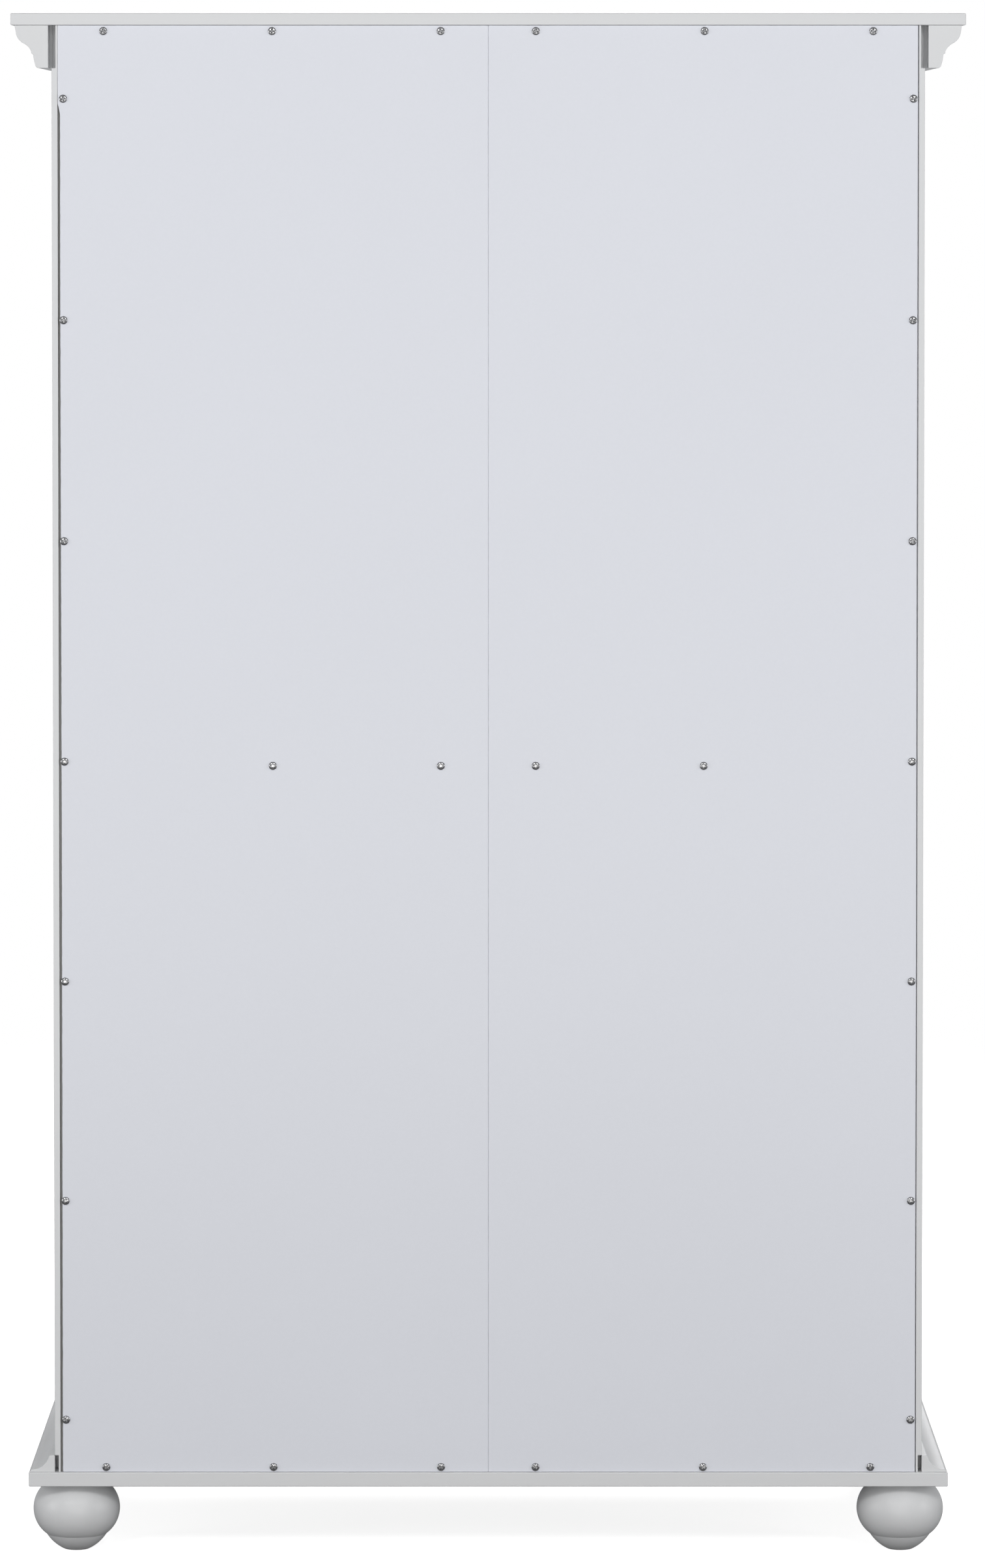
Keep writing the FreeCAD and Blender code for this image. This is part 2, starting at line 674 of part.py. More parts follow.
# ---- Face frame -------------------------------------------------------------------------
def make_face_frame():
    """Stiles and rails on the front edges of the carcass."""
    stile = block(-X_SIDE, -X_OPENING, Y_FRONT, Y_FRAME_BACK, Z_CARCASS, Z_SLAB)
    stile = without(stile, hinge_pockets(-1))

    def rail(z0, z1):
        """A rail between the stiles."""
        return block(-X_OPENING, X_OPENING, Y_FRONT, Y_FRAME_BACK, z0, z1)

    drawer_rails = []
    for index in range(1, DRAWER_COUNT):
        z = Z_DRAWERS + index * (DRAWER_OPENING + DRAWER_RAIL) - DRAWER_RAIL
        drawer_rails.append(rail(z, z + DRAWER_RAIL))
    return {
        "face_stile_left": stile,
        "face_stile_right": mirrored(stile),
        "face_top_rail": rail(Z_DOOR_OPENING_TOP, Z_SLAB),
        "face_middle_rail": rail(Z_DRAWERS_TOP, MIDDLE_PANEL_TOP),
        "face_bottom_rail": rail(Z_CARCASS, Z_DRAWERS),
        "drawer_rails": Part.makeCompound(drawer_rails),
    }


# ---- Knobs ------------------------------------------------------------------------------
def knob():
    """A turned knob whose rose sits on y = 0, with its shank running back into the wood."""
    widest = KNOB_LENGTH - KNOB_CROWN
    ball_start = widest - KNOB_CROWN
    return facing_front(turned([
        (0, -KNOB_SHANK_LENGTH),
        (KNOB_SHANK_RADIUS, -KNOB_SHANK_LENGTH),
        (KNOB_SHANK_RADIUS, 0),
        (KNOB_ROSE_RADIUS, 0),
        (KNOB_ROSE_RADIUS + 0.6, KNOB_ROSE_HEIGHT / 2, KNOB_ROSE_RADIUS - 1.0, KNOB_ROSE_HEIGHT),
        (KNOB_NECK_RADIUS, (KNOB_ROSE_HEIGHT + ball_start) / 2, KNOB_NECK_RADIUS + 2.0, ball_start),
        (KNOB_RADIUS * 0.9, widest - KNOB_CROWN * 0.5, KNOB_RADIUS, widest),
        (KNOB_RADIUS * 0.8, KNOB_LENGTH - KNOB_CROWN * 0.27, KNOB_FLAT_RADIUS, KNOB_LENGTH),
        (0, KNOB_LENGTH),
    ]))


def knob_hole(x, z):
    """The hole for a knob's shank."""
    depth = Y_FRONT + KNOB_SHANK_LENGTH + SHANK_CLEARANCE
    return rod(KNOB_SHANK_RADIUS + SHANK_CLEARANCE, V(x, Y_FRONT, z), V(x, depth, z))


# ---- Doors ------------------------------------------------------------------------------
def make_doors():
    """Both doors; the right one is the left one's mirror image."""
    x_hinge_edge = -X_OPENING + DOOR_GAP
    width = X_OPENING - DOOR_GAP - MEETING_GAP / 2
    z_low = Z_DOOR_OPENING + DOOR_GAP
    z_high = Z_DOOR_OPENING_TOP - DOOR_GAP
    stiles, rails, panels = panelled_frame(
        width, FACE_THICKNESS, z_low, z_high, DOOR_STILE_WIDTH,
        [(z_low + DOOR_BOTTOM_RAIL, z_high - DOOR_TOP_RAIL)])

    def place(shape):
        """From the frame's own axes to the left-hand opening."""
        return moved(shape, x_hinge_edge, Y_FRONT, 0)

    x_knob = -MEETING_GAP / 2 - DOOR_STILE_WIDTH / 2
    z_knob = z_low + DOOR_KNOB_HEIGHT
    hinge_stile = without(place(stiles[0]), hinge_pockets(1))
    meeting_stile = place(stiles[1]).cut(knob_hole(x_knob, z_knob))
    strike = block(
        -CATCH_DISTANCE - STRIKE_SIZE.x / 2, -CATCH_DISTANCE + STRIKE_SIZE.x / 2,
        Y_FRAME_BACK, Y_FRAME_BACK + STRIKE_SIZE.y,
        z_low + STRIKE_LIFT, z_low + STRIKE_LIFT + STRIKE_SIZE.z)
    leaves = [hinge_leaf(1, z, 1) for z in hinge_heights()]
    left = {
        "stiles": Part.makeCompound([hinge_stile, meeting_stile]),
        "rails": Part.makeCompound([place(rail) for rail in rails]),
        "panel": place(panels[0]),
        "knob": moved(knob(), x_knob, Y_FRONT, z_knob),
        "hardware": Part.makeCompound(leaves + [strike]),
    }
    pieces = {}
    for name, shape in left.items():
        pieces["door_left_" + name] = shape
        pieces["door_right_" + name] = mirrored(shape)
    return pieces


def make_catches():
    """Magnetic catches on the middle panel, just behind the closed doors' strikes."""
    y0 = Y_FRAME_BACK + STRIKE_SIZE.y + CATCH_GAP
    catches = [
        block(
            x - CATCH_SIZE.x / 2, x + CATCH_SIZE.x / 2,
            y0, y0 + CATCH_SIZE.y,
            MIDDLE_PANEL_TOP, MIDDLE_PANEL_TOP + CATCH_SIZE.z)
        for x in (-CATCH_DISTANCE, CATCH_DISTANCE)]
    return Part.makeCompound(catches)


# ---- Hanging rail -----------------------------------------------------------------------
def make_hanging_rail():
    """A tube across the upper compartment, held in a flanged socket at each end."""
    x_end = X_INNER - SOCKET_FLANGE
    ends = (V(-x_end, Y_RAIL, Z_RAIL), V(x_end, Y_RAIL, Z_RAIL))
    tube = rod(RAIL_RADIUS, *ends).cut(rod(RAIL_RADIUS - RAIL_WALL, *ends))
    wall = V(X_INNER, Y_RAIL, Z_RAIL)
    flange_face = V(x_end, Y_RAIL, Z_RAIL)
    mouth = V(x_end - SOCKET_CUP_LENGTH, Y_RAIL, Z_RAIL)
    cup_radius = RAIL_RADIUS + RAIL_CLEARANCE
    outer_radius = cup_radius + SOCKET_WALL
    socket = fused(
        rod(outer_radius + SOCKET_FLANGE_WIDTH, wall, flange_face),
        rod(outer_radius, flange_face, mouth))
    socket = socket.cut(rod(cup_radius, flange_face, mouth))
    return {
        "hanging_rail": tube,
        "rail_sockets": Part.makeCompound([socket, mirrored(socket)]),
    }


# ---- Drawers ----------------------------------------------------------------------------
def drawer_front(z0, z1):
    """A fielded front board, grooved for the bottom and bored for two knobs."""
    x_end = X_OPENING - DRAWER_GAP
    face = (-x_end, x_end, z0 + DRAWER_GAP, z1 - DRAWER_GAP)
    rim = grown(face, -DRAWER_FRONT_BORDER)
    field = grown(rim, -DRAWER_BEVEL_WIDTH)
    y_bevel = Y_FRONT + DRAWER_STEP
    y_rim = y_bevel + DRAWER_BEVEL_RISE
    y_back = Y_FRONT + DRAWER_FRONT_THICKNESS
    front = fused(
        block(face[0], face[1], y_rim, y_back, face[2], face[3]),
        frustum(field, rim, y_bevel, y_rim),
        block(field[0], field[1], Y_FRONT, y_rim, field[2], field[3]))
    z_bottom = z0 + DRAWER_BOX_LIFT + DRAWER_BOTTOM_LIFT
    x_groove = X_OPENING - DRAWER_BOX_CLEARANCE - DRAWER_SIDE_THICKNESS + DRAWER_BOTTOM_GROOVE
    groove = block(
        -x_groove, x_groove,
        y_back - DRAWER_BOTTOM_GROOVE, y_back,
        z_bottom, z_bottom + DRAWER_BOTTOM_THICKNESS)
    holes = [knob_hole(x, (z0 + z1) / 2) for x in drawer_knob_places()]
    return without(front, [groove] + holes)


def drawer_knob_places():
    """The two knobs' places across a drawer front."""
    x = X_OPENING - DRAWER_GAP - DRAWER_KNOB_INSET
    return (-x, x)


def drawer_box_heights(z0, z1):
    """Lower edge, runner's axis and upper edge of the box in an opening."""
    low = z0 + DRAWER_BOX_LIFT
    high = z1 - DRAWER_BOX_HEADROOM
    return low, (low + high) / 2, high


def make_drawer(z0, z1):
    """One drawer in the opening from z0 to z1."""
    x_out = X_OPENING - DRAWER_BOX_CLEARANCE
    x_in = x_out - DRAWER_SIDE_THICKNESS
    y0 = Y_FRONT + DRAWER_FRONT_THICKNESS
    y1 = Y_BACK_PANEL - BATTEN_THICKNESS - DRAWER_REAR_GAP
    low, z_runner, high = drawer_box_heights(z0, z1)
    bottom_low = low + DRAWER_BOTTOM_LIFT
    bottom_high = bottom_low + DRAWER_BOTTOM_THICKNESS
    side = block(x_in, x_out, y0, y1, low, high)
    runner_groove = block(
        X_OPENING - RUNNER_REACH - RUNNER_END_PLAY, x_out,
        y0 + RUNNER_STOP, y1,
        z_runner - RUNNER_HEIGHT / 2 - RUNNER_PLAY,
        z_runner + RUNNER_HEIGHT / 2 + RUNNER_PLAY)
    bottom_groove = block(
        x_in, x_in + DRAWER_BOTTOM_GROOVE, y0, y1, bottom_low, bottom_high)
    side = without(side, [runner_groove, bottom_groove])
    back = block(
        -x_in, x_in,
        y1 - DRAWER_SIDE_THICKNESS, y1,
        bottom_high, high - DRAWER_BACK_DROP)
    bottom = block(
        -x_in - DRAWER_BOTTOM_GROOVE, x_in + DRAWER_BOTTOM_GROOVE,
        y0 - DRAWER_BOTTOM_GROOVE, y1,
        bottom_low, bottom_high)
    knobs = [moved(knob(), x, Y_FRONT, (z0 + z1) / 2) for x in drawer_knob_places()]
    return {
        "front": drawer_front(z0, z1),
        "box_boards": Part.makeCompound([mirrored(side), side, back]),
        "bottom": bottom,
        "knobs": Part.makeCompound(knobs),
    }


def drawer_openings():
    """Lower and upper edge of each drawer's opening, the top drawer first."""
    pitch = DRAWER_OPENING + DRAWER_RAIL
    lows = [Z_DRAWERS + i * pitch for i in range(DRAWER_COUNT)]
    return [(z, z + DRAWER_OPENING) for z in reversed(lows)]


def make_drawers():
    """All the drawers, with the packers and runners that carry them."""
    pieces = {}
    packers = []
    runners = []
    y_groove_end = Y_FRONT + DRAWER_FRONT_THICKNESS + RUNNER_STOP
    for number, (z0, z1) in enumerate(drawer_openings(), start=1):
        for name, shape in make_drawer(z0, z1).items():
            pieces["drawer_%d_%s" % (number, name)] = shape
        z_runner = drawer_box_heights(z0, z1)[1]
        packer = block(
            X_OPENING, X_INNER,
            Y_FRAME_BACK, Y_BACK_PANEL - PACKER_REAR_GAP,
            z_runner - PACKER_HEIGHT / 2, z_runner + PACKER_HEIGHT / 2)
        runner = block(
            X_OPENING - RUNNER_REACH, X_OPENING,
            y_groove_end + RUNNER_END_PLAY, Y_BACK_PANEL - PACKER_REAR_GAP,
            z_runner - RUNNER_HEIGHT / 2, z_runner + RUNNER_HEIGHT / 2)
        packers += [packer, mirrored(packer)]
        runners += [runner, mirrored(runner)]
    pieces["runner_packers"] = Part.makeCompound(packers)
    pieces["drawer_runners"] = Part.makeCompound(runners)
    return pieces


# ---- The whole cabinet ------------------------------------------------------------------
def make_armoire():
    """Every sub-part by name."""
    pilots = pilot_holes()
    pieces = {
        "cornice_slab": make_cornice_slab(),
        "base_board": make_base_board(),
        "foot_studs": make_foot_studs(),
        "bottom_panel": inner_board(Z_CARCASS, Z_CARCASS + BOARD_THICKNESS, pilots),
        "middle_panel": inner_board(MIDDLE_PANEL_TOP - BOARD_THICKNESS, MIDDLE_PANEL_TOP, pilots),
        "top_panel": inner_board(Z_SLAB - BOARD_THICKNESS, Z_SLAB, pilots),
        "back_screws": make_back_screws(),
        "door_catches": make_catches(),
    }
    pieces.update(make_feet())
    pieces.update(make_crown())
    pieces.update(make_base_mouldings())
    pieces.update(make_sides(pilots))
    pieces.update(make_back(pilots))
    pieces.update(make_face_frame())
    pieces.update(make_hinges())
    pieces.update(make_doors())
    pieces.update(make_hanging_rail())
    pieces.update(make_drawers())
    return pieces


os.makedirs("parts", exist_ok=True)
for node, shape in make_armoire().items():
    solids = shape.Solids
    whole = solids[0] if len(solids) == 1 else Part.makeCompound(solids)
    whole.exportStep("parts/" + node + ".step")
    print(node, len(solids), whole.isValid(), round(whole.Volume))
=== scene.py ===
"""Armoire: finishes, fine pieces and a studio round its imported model.

Metres, +Z up. The doors and drawers face -Y, the screwed-on back faces +Y, and left is -X.
"""
import math
import random

import bmesh
import bpy
from mathutils import Matrix, Vector, noise


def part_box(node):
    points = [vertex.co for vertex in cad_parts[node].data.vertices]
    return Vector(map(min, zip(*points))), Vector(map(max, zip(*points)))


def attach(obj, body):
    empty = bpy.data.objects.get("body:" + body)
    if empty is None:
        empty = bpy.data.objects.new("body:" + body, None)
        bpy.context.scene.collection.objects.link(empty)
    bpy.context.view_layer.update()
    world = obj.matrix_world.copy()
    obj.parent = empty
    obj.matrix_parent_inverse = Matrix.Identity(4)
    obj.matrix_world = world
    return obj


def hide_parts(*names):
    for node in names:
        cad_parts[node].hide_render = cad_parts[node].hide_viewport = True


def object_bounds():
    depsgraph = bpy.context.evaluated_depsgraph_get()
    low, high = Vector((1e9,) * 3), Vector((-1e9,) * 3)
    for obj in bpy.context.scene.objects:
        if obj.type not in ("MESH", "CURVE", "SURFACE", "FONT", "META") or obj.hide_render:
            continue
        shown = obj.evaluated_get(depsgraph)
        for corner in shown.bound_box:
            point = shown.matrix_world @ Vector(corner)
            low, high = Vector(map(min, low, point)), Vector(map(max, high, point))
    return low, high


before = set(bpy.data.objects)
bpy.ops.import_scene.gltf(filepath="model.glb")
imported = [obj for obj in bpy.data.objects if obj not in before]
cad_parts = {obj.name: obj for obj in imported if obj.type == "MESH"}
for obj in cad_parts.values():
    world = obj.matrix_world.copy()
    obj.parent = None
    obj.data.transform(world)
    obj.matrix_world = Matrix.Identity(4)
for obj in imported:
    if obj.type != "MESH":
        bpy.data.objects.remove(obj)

bl_info = {
    "name": "Armoire",
    "version": (1, 0, 0),
    "blender": (4, 5, 0),
    "location": "3D View > Sidebar > Armoire",
    "description": "Finishes, fine pieces and a studio for a painted armoire",
    "category": "Object",
}

CAD_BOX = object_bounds()
MM = 0.001

# Points of a mesh that are nearer than this are one point.
SAME_POINT = 0.001 * MM
WELD_REACH = 0.002 * MM
# Faces that meet at more than this are shaded with a sharp edge between them.
SCREW_CREASE = math.radians(38)
LEAF_CREASE = math.radians(30)

# Which way a painted piece's wood runs, and the CAD nodes that run that way.
UPRIGHT = (
    "face_stile_left", "face_stile_right", "side_frame_left", "side_frame_right",
    "side_panels_left", "side_panels_right", "foot_front_left", "foot_front_right",
    "foot_rear_left", "foot_rear_right", "door_left_stiles", "door_right_stiles",
    "door_left_panel", "door_right_panel",
)
ACROSS = (
    "cornice_slab", "crown_moulding_front", "base_board", "base_moulding_front",
    "face_top_rail", "face_middle_rail", "face_bottom_rail", "drawer_rails",
    "door_left_rails", "door_right_rails",
    "drawer_1_front", "drawer_2_front", "drawer_3_front",
)
FRONT_TO_BACK = (
    "crown_moulding_left", "crown_moulding_right",
    "base_moulding_left", "base_moulding_right",
)
INSIDE_BOARDS = ("bottom_panel", "middle_panel", "top_panel")
TURNED = ("foot_front_left", "foot_front_right", "foot_rear_left", "foot_rear_right")
FEW_EDGES = TURNED + ("cornice_slab", "base_board")
DRAWERS = (1, 2, 3)

# How much a texture is squeezed along X, Y and Z so that its streaks run one way.
GRAIN_UPRIGHT = (1.0, 1.0, 0.035)
GRAIN_ACROSS = (0.035, 1.0, 1.0)
GRAIN_FRONT_TO_BACK = (1.0, 0.035, 1.0)
GRAIN_DRAWER_BOX = (0.3, 0.035, 1.0)
EVEN = (1.0, 1.0, 1.0)
BRUSHED_ALONG = (0.03, 1.0, 1.0)

# Tones that are the same on every piece.
DUST_GREY = (0.66, 0.64, 0.60)
RUBBED_METAL = (0.55, 0.55, 0.56)


# ---- Sizes and colours a user may change ------------------------------------------------
def colour_property(name, description, default):
    """A colour a user may change."""
    return bpy.props.FloatVectorProperty(
        name=name, description=description, default=default,
        subtype="COLOR", size=3, min=0.0, max=1.0)


def length_property(name, description, default):
    """A length a user may change."""
    return bpy.props.FloatProperty(
        name=name, description=description, default=default,
        min=0.0, unit="LENGTH", subtype="DISTANCE", precision=5)


def share_property(name, description, default):
    """A share from none to all of something."""
    return bpy.props.FloatProperty(
        name=name, description=description, default=default,
        min=0.0, max=1.0, subtype="FACTOR")


class ARMOIRE_PG_finishes(bpy.types.PropertyGroup):
    """Colours of the paint, board, timber and metals."""

    paint: colour_property("Paint", "Satin paint outside", (0.76, 0.765, 0.775))
    paint_inside: colour_property("Inside paint", "Paint on the inner boards", (0.76, 0.76, 0.76))
    primer: colour_property("Primer", "What shows where the paint is thin", (0.62, 0.61, 0.60))
    # Painted shade: a dark colour laid on the right side's rebate floor, where the gap beside the back panel
    # is in shade.
    rebate_shade_colour: colour_property("Raw board", "Unpainted rebates behind the back", (0.36, 0.355, 0.345))
    back: colour_property("Back board", "Painted face of the thin back", (0.80, 0.815, 0.875))
    softwood_pale: colour_property("Softwood", "Early wood of battens and runners", (0.70, 0.52, 0.33))
    softwood_dark: colour_property("Softwood rings", "Late wood of battens and runners", (0.50, 0.31, 0.16))
    birch_pale: colour_property("Birch", "Lacquered drawer boards", (0.76, 0.60, 0.42))
    birch_dark: colour_property("Birch figure", "Figure in the drawer boards", (0.62, 0.44, 0.27))
    screw_steel: colour_property("Screw steel", "Dull plated back screws", (0.40, 0.40, 0.41))
    zinc: colour_property("Zinc", "Plated studs and small screws", (0.60, 0.60, 0.58))
    nickel: colour_property("Nickel", "Knobs and hinges", (0.56, 0.54, 0.50))
    chrome: colour_property("Chrome", "Hanging rail", (0.80, 0.80, 0.82))
    plastic: colour_property("Plastic", "Catch housings", (0.80, 0.80, 0.78))
    wear: share_property("Edge wear", "How far the paint is rubbed at the edges", 0.35)
    dust: share_property("Dust", "How much dust lies on what faces up", 0.25)


class ARMOIRE_PG_sizes(bpy.types.PropertyGroup):
    """Sizes of what is softened, bent or added."""

    board_edge: length_property("Board edge", "Softened edge of a painted board", 0.6 * MM)
    back_edge: length_property("Back edge", "Softened edge of the back panels", 0.8 * MM)
    back_bow: length_property("Back bow", "How far the back stands off between screws", 0.7 * MM)
    right_edge_in: length_property(
        "Right edge in", "How far the right back panel's edge is cut back", 0.2 * MM)
    left_edge_out: length_property(
        "Left edge out", "How far the left back panel's edge stands out", 1.2 * MM)
    side_gap: length_property("Side gap", "From the back panel's edge to the side's lip", 2.5 * MM)
    closed_top: length_property("Closed top", "Upper stretch where that gap closes", 106 * MM)
    side_lip: length_property("Side lip", "What stands outside a side's rear rebate", 7 * MM)
    seam_closed: length_property("Seam closed", "How far each panel reaches into the seam", 0.57 * MM)
    edge_wander: length_property("Edge wander", "Slow wander of the sawn edge", 0.5 * MM)
    edge_chip: length_property("Edge chips", "Small chips in the sawn edge", 0.45 * MM)
    screw_radius: length_property("Screw head", "Radius of a back screw's head", 4.85 * MM)
    leaf_gap: length_property("Leaf gap", "Between the two leaves of a closed hinge", 0.2 * MM)
    leaf_depth: length_property("Leaf depth", "How deep a hinge leaf is let in", 18 * MM)
    leaf_screw: length_property("Leaf screw", "Radius of a hinge screw's head", 3.1 * MM)
    leaf_screw_pitch: length_property("Leaf screw pitch", "Between the screws of a leaf", 26 * MM)
    screw_lean: bpy.props.FloatProperty(
        name="Screw lean", description="Most that a back screw leans",
        default=math.radians(2.0), min=0.0, unit="ROTATION", subtype="ANGLE")


class ARMOIRE_PG_studio(bpy.types.PropertyGroup):
    """Camera and lights."""

    camera_distance: length_property("Camera distance", "From the armoire's back", 8.6)
    eye_height: length_property("Eye height", "Height of the camera", 1.643)
    lens: bpy.props.FloatProperty(
        name="Lens", description="Focal length of the camera",
        default=167.55, min=1.0, unit="CAMERA")
    shift_x: bpy.props.FloatProperty(
        name="Shift across", description="Sideways shift of the lens", default=0.0027)
    shift_y: bpy.props.FloatProperty(
        name="Shift up", description="Upward shift of the lens", default=-0.2)
    pitch: bpy.props.FloatProperty(
        name="Pitch", description="How far the camera looks down",
        default=math.radians(2.353), unit="ROTATION", subtype="ANGLE")
    sky: bpy.props.FloatProperty(
        name="Sky", description="Strength of the light from all round", default=0.60, min=0.0)
    back_light: bpy.props.FloatProperty(
        name="Back light", description="Power of each softbox behind the armoire",
        default=45.0, min=0.0, subtype="POWER", unit="POWER")
    low_light: bpy.props.FloatProperty(
        name="Low light", description="Power of the softbox near the floor",
        default=31.0, min=0.0, subtype="POWER", unit="POWER")
    front_light: bpy.props.FloatProperty(
        name="Front light", description="Power of the softbox before the armoire",
        default=140.0, min=0.0, subtype="POWER", unit="POWER")
    side_light: bpy.props.FloatProperty(
        name="Side light", description="Power of each side's softbox",
        default=36.0, min=0.0, subtype="POWER", unit="POWER")


# ---- Meshes -----------------------------------------------------------------------------
def node_object(name):
    """The shown object of a CAD node."""
    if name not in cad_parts:
        raise KeyError("the packed model has no node named " + name)
    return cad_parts[name]


def islands(name):
    """The box of every separate solid in a CAD node, as (lowest corner, highest corner)."""
    work = bmesh.new()
    work.from_mesh(node_object(name).data)
    bmesh.ops.remove_doubles(work, verts=work.verts, dist=SAME_POINT)
    seen = set()
    boxes = []
    for start in work.verts:
        if start in seen:
            continue
        seen.add(start)
        group = [start]
        for vert in group:
            for edge in vert.link_edges:
                other = edge.other_vert(vert)
                if other not in seen:
                    seen.add(other)
                    group.append(other)
        low = Vector([min(v.co[i] for v in group) for i in range(3)])
        high = Vector([max(v.co[i] for v in group) for i in range(3)])
        boxes.append((low, high))
    work.free()
    if not boxes:
        raise ValueError("the CAD node " + name + " is empty")
    return boxes


def new_piece(name, mesh, material, body, replaced=()):
    """Puts a mesh in the scene as a piece of the armoire."""
    piece = bpy.data.objects.new(name, mesh)
    bpy.context.scene.collection.objects.link(piece)
    mesh.materials.clear()
    mesh.materials.append(material)
    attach(piece, body)
    if replaced:
        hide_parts(*replaced)
    return piece


def baked_mesh(piece, name):
    """A piece's mesh with its modifiers applied; the piece itself is removed."""
    graph = bpy.context.evaluated_depsgraph_get()
    mesh = bpy.data.meshes.new_from_object(piece.evaluated_get(graph))
    mesh.name = name
    bpy.data.objects.remove(piece)
    return mesh


def mesh_from(work, name, smooth=True):
    """Turns a bmesh into a mesh with outward normals."""
    bmesh.ops.recalc_face_normals(work, faces=work.faces)
    mesh = bpy.data.meshes.new(name)
    work.to_mesh(mesh)
    work.free()
    if smooth:
        mesh.shade_smooth()
    return mesh


def turned(work, outline, segments=48):
    """Adds a solid turned about Z to a bmesh, from (radius, height) points low to high."""
    rings = []
    for radius, height in outline:
        if radius < 1e-7:
            rings.append([work.verts.new((0, 0, height))])
            continue
        ring = []
        for step in range(segments):
            angle = 2 * math.pi * step / segments
            ring.append(work.verts.new((radius * math.cos(angle), radius * math.sin(angle), height)))
        rings.append(ring)
    for low, high in zip(rings, rings[1:]):
        for step in range(segments):
            after = (step + 1) % segments
            corners = [low[step % len(low)], low[after % len(low)],
                       high[after % len(high)], high[step % len(high)]]
            corners = list(dict.fromkeys(corners))
            if len(corners) > 2:
                work.faces.new(corners)


def add_block(work, low, high):
    """Adds a box between two corners to a bmesh."""
    made = bmesh.ops.create_cube(work, size=1.0)["verts"]
    low, high = Vector(low), Vector(high)
    for vert in made:
        vert.co = Vector([low[i] + (vert.co[i] + 0.5) * (high[i] - low[i]) for i in range(3)])


def carved(node, cutter, name):
    """A CAD node's mesh with another mesh cut out of it."""
    body = bpy.data.objects.new(name, node_object(node).data.copy())
    tool = bpy.data.objects.new(name + "_cutter", cutter)
    for made in (body, tool):
        bpy.context.scene.collection.objects.link(made)
    weld = body.modifiers.new("Weld", "WELD")
    weld.merge_threshold = WELD_REACH
    cut = body.modifiers.new("Cut", "BOOLEAN")
    cut.operation = "DIFFERENCE"
    cut.solver = "EXACT"
    cut.object = tool
    mesh = baked_mesh(body, name)
    bpy.data.objects.remove(tool)
    if "custom_normal" in mesh.attributes:
        mesh.attributes.remove(mesh.attributes["custom_normal"])
    mesh.shade_smooth()
    mesh.set_sharp_from_angle(angle=LEAF_CREASE)
    return mesh


def round_edges(piece, width):
    """Rounds the sharp edges of a piece made here."""
    edge = piece.modifiers.new("Soft edges", "BEVEL")
    edge.width = width
    edge.segments = 3
    edge.limit_method = "ANGLE"
    edge.angle_limit = math.radians(40)
    even = piece.modifiers.new("Even shading", "WEIGHTED_NORMAL")
    even.weight = 80


def soften_edges(piece, width):
    """Welds a CAD board's faces, rounds its sharp edges and evens its shading."""
    weld = piece.modifiers.new("Weld", "WELD")
    weld.merge_threshold = WELD_REACH
    flat = piece.modifiers.new("Flat faces", "DECIMATE")
    flat.decimate_type = "DISSOLVE"
    flat.angle_limit = math.radians(1.0)
    edge = piece.modifiers.new("Soft edges", "BEVEL")
    edge.width = width
    edge.segments = 2
    edge.limit_method = "ANGLE"
    edge.angle_limit = math.radians(32)
    edge.use_clamp_overlap = False
    edge.miter_outer = "MITER_ARC"
    even = piece.modifiers.new("Even shading", "WEIGHTED_NORMAL")
    even.keep_sharp = False
    even.weight = 100
    piece.data.shade_smooth()


# ---- Shader building --------------------------------------------------------------------
def feed(tree, socket, value):
    """Gives an input a plain value, or links it to the socket that feeds it."""
    if isinstance(value, bpy.types.NodeSocket):
        tree.links.new(value, socket)
    else:
        socket.default_value = value


def put(tree, kind, settings=None, **inputs):
    """Adds a shader node; an input is a value or the socket that feeds it."""
    made = tree.nodes.new(kind)
    for key, value in (settings or {}).items():
        setattr(made, key, value)
    for key, value in inputs.items():
        socket = made.inputs[key.replace("_", " ")]
        feed(tree, socket, value)
    return made


def maths(tree, operation, first, second=0.0, clamp=False):
    """The output of a Math node."""
    made = tree.nodes.new("ShaderNodeMath")
    made.operation = operation
    made.use_clamp = clamp
    for socket, value in zip(made.inputs, (first, second)):
        feed(tree, socket, value)
    return made.outputs[0]


def blended(tree, factor, first, second, blend_type="MIX"):
    """The colour output of a Mix node."""
    made = tree.nodes.new("ShaderNodeMix")
    made.data_type = "RGBA"
    made.blend_type = blend_type
    sockets = (made.inputs["Factor"], made.inputs[6], made.inputs[7])
    for socket, value in zip(sockets, (factor, first, second)):
        feed(tree, socket, value)
    return made.outputs[2]


def spread(tree, value, low, high, to_low=0.0, to_high=1.0, smooth=True):
    """The output of a Map Range node."""
    made = put(
        tree, "ShaderNodeMapRange",
        {"interpolation_type": "SMOOTHSTEP" if smooth else "LINEAR", "clamp": True},
        Value=value, From_Min=low, From_Max=high, To_Min=to_low, To_Max=to_high)
    return made.outputs["Result"]


def swing(tree, value, amount):
    """A value between 0 and 1 turned into one that swings about 0."""
    return maths(tree, "MULTIPLY", maths(tree, "SUBTRACT", value, 0.5), amount)


def weighed(tree, first, first_share, second, second_share):
    """Two values added, each in its own share."""
    first_part = maths(tree, "MULTIPLY", first, first_share)
    second_part = maths(tree, "MULTIPLY", second, second_share)
    return maths(tree, "ADD", first_part, second_part)


def toned(tree, colour, tone):
    """A colour made lighter or darker by a factor."""
    made = put(tree, "ShaderNodeVectorMath", {"operation": "SCALE"})
    tree.links.new(colour, made.inputs[0])
    tree.links.new(tone, made.inputs["Scale"])
    return made.outputs[0]


def rough_between(tree, value, given):
    """A roughness between a group's two given ones, from a noise value."""
    made = put(
        tree, "ShaderNodeMapRange", None, Value=value, From_Min=0.35, From_Max=0.65,
        To_Min=given["Low Roughness"], To_Max=given["High Roughness"])
    return made.outputs["Result"]


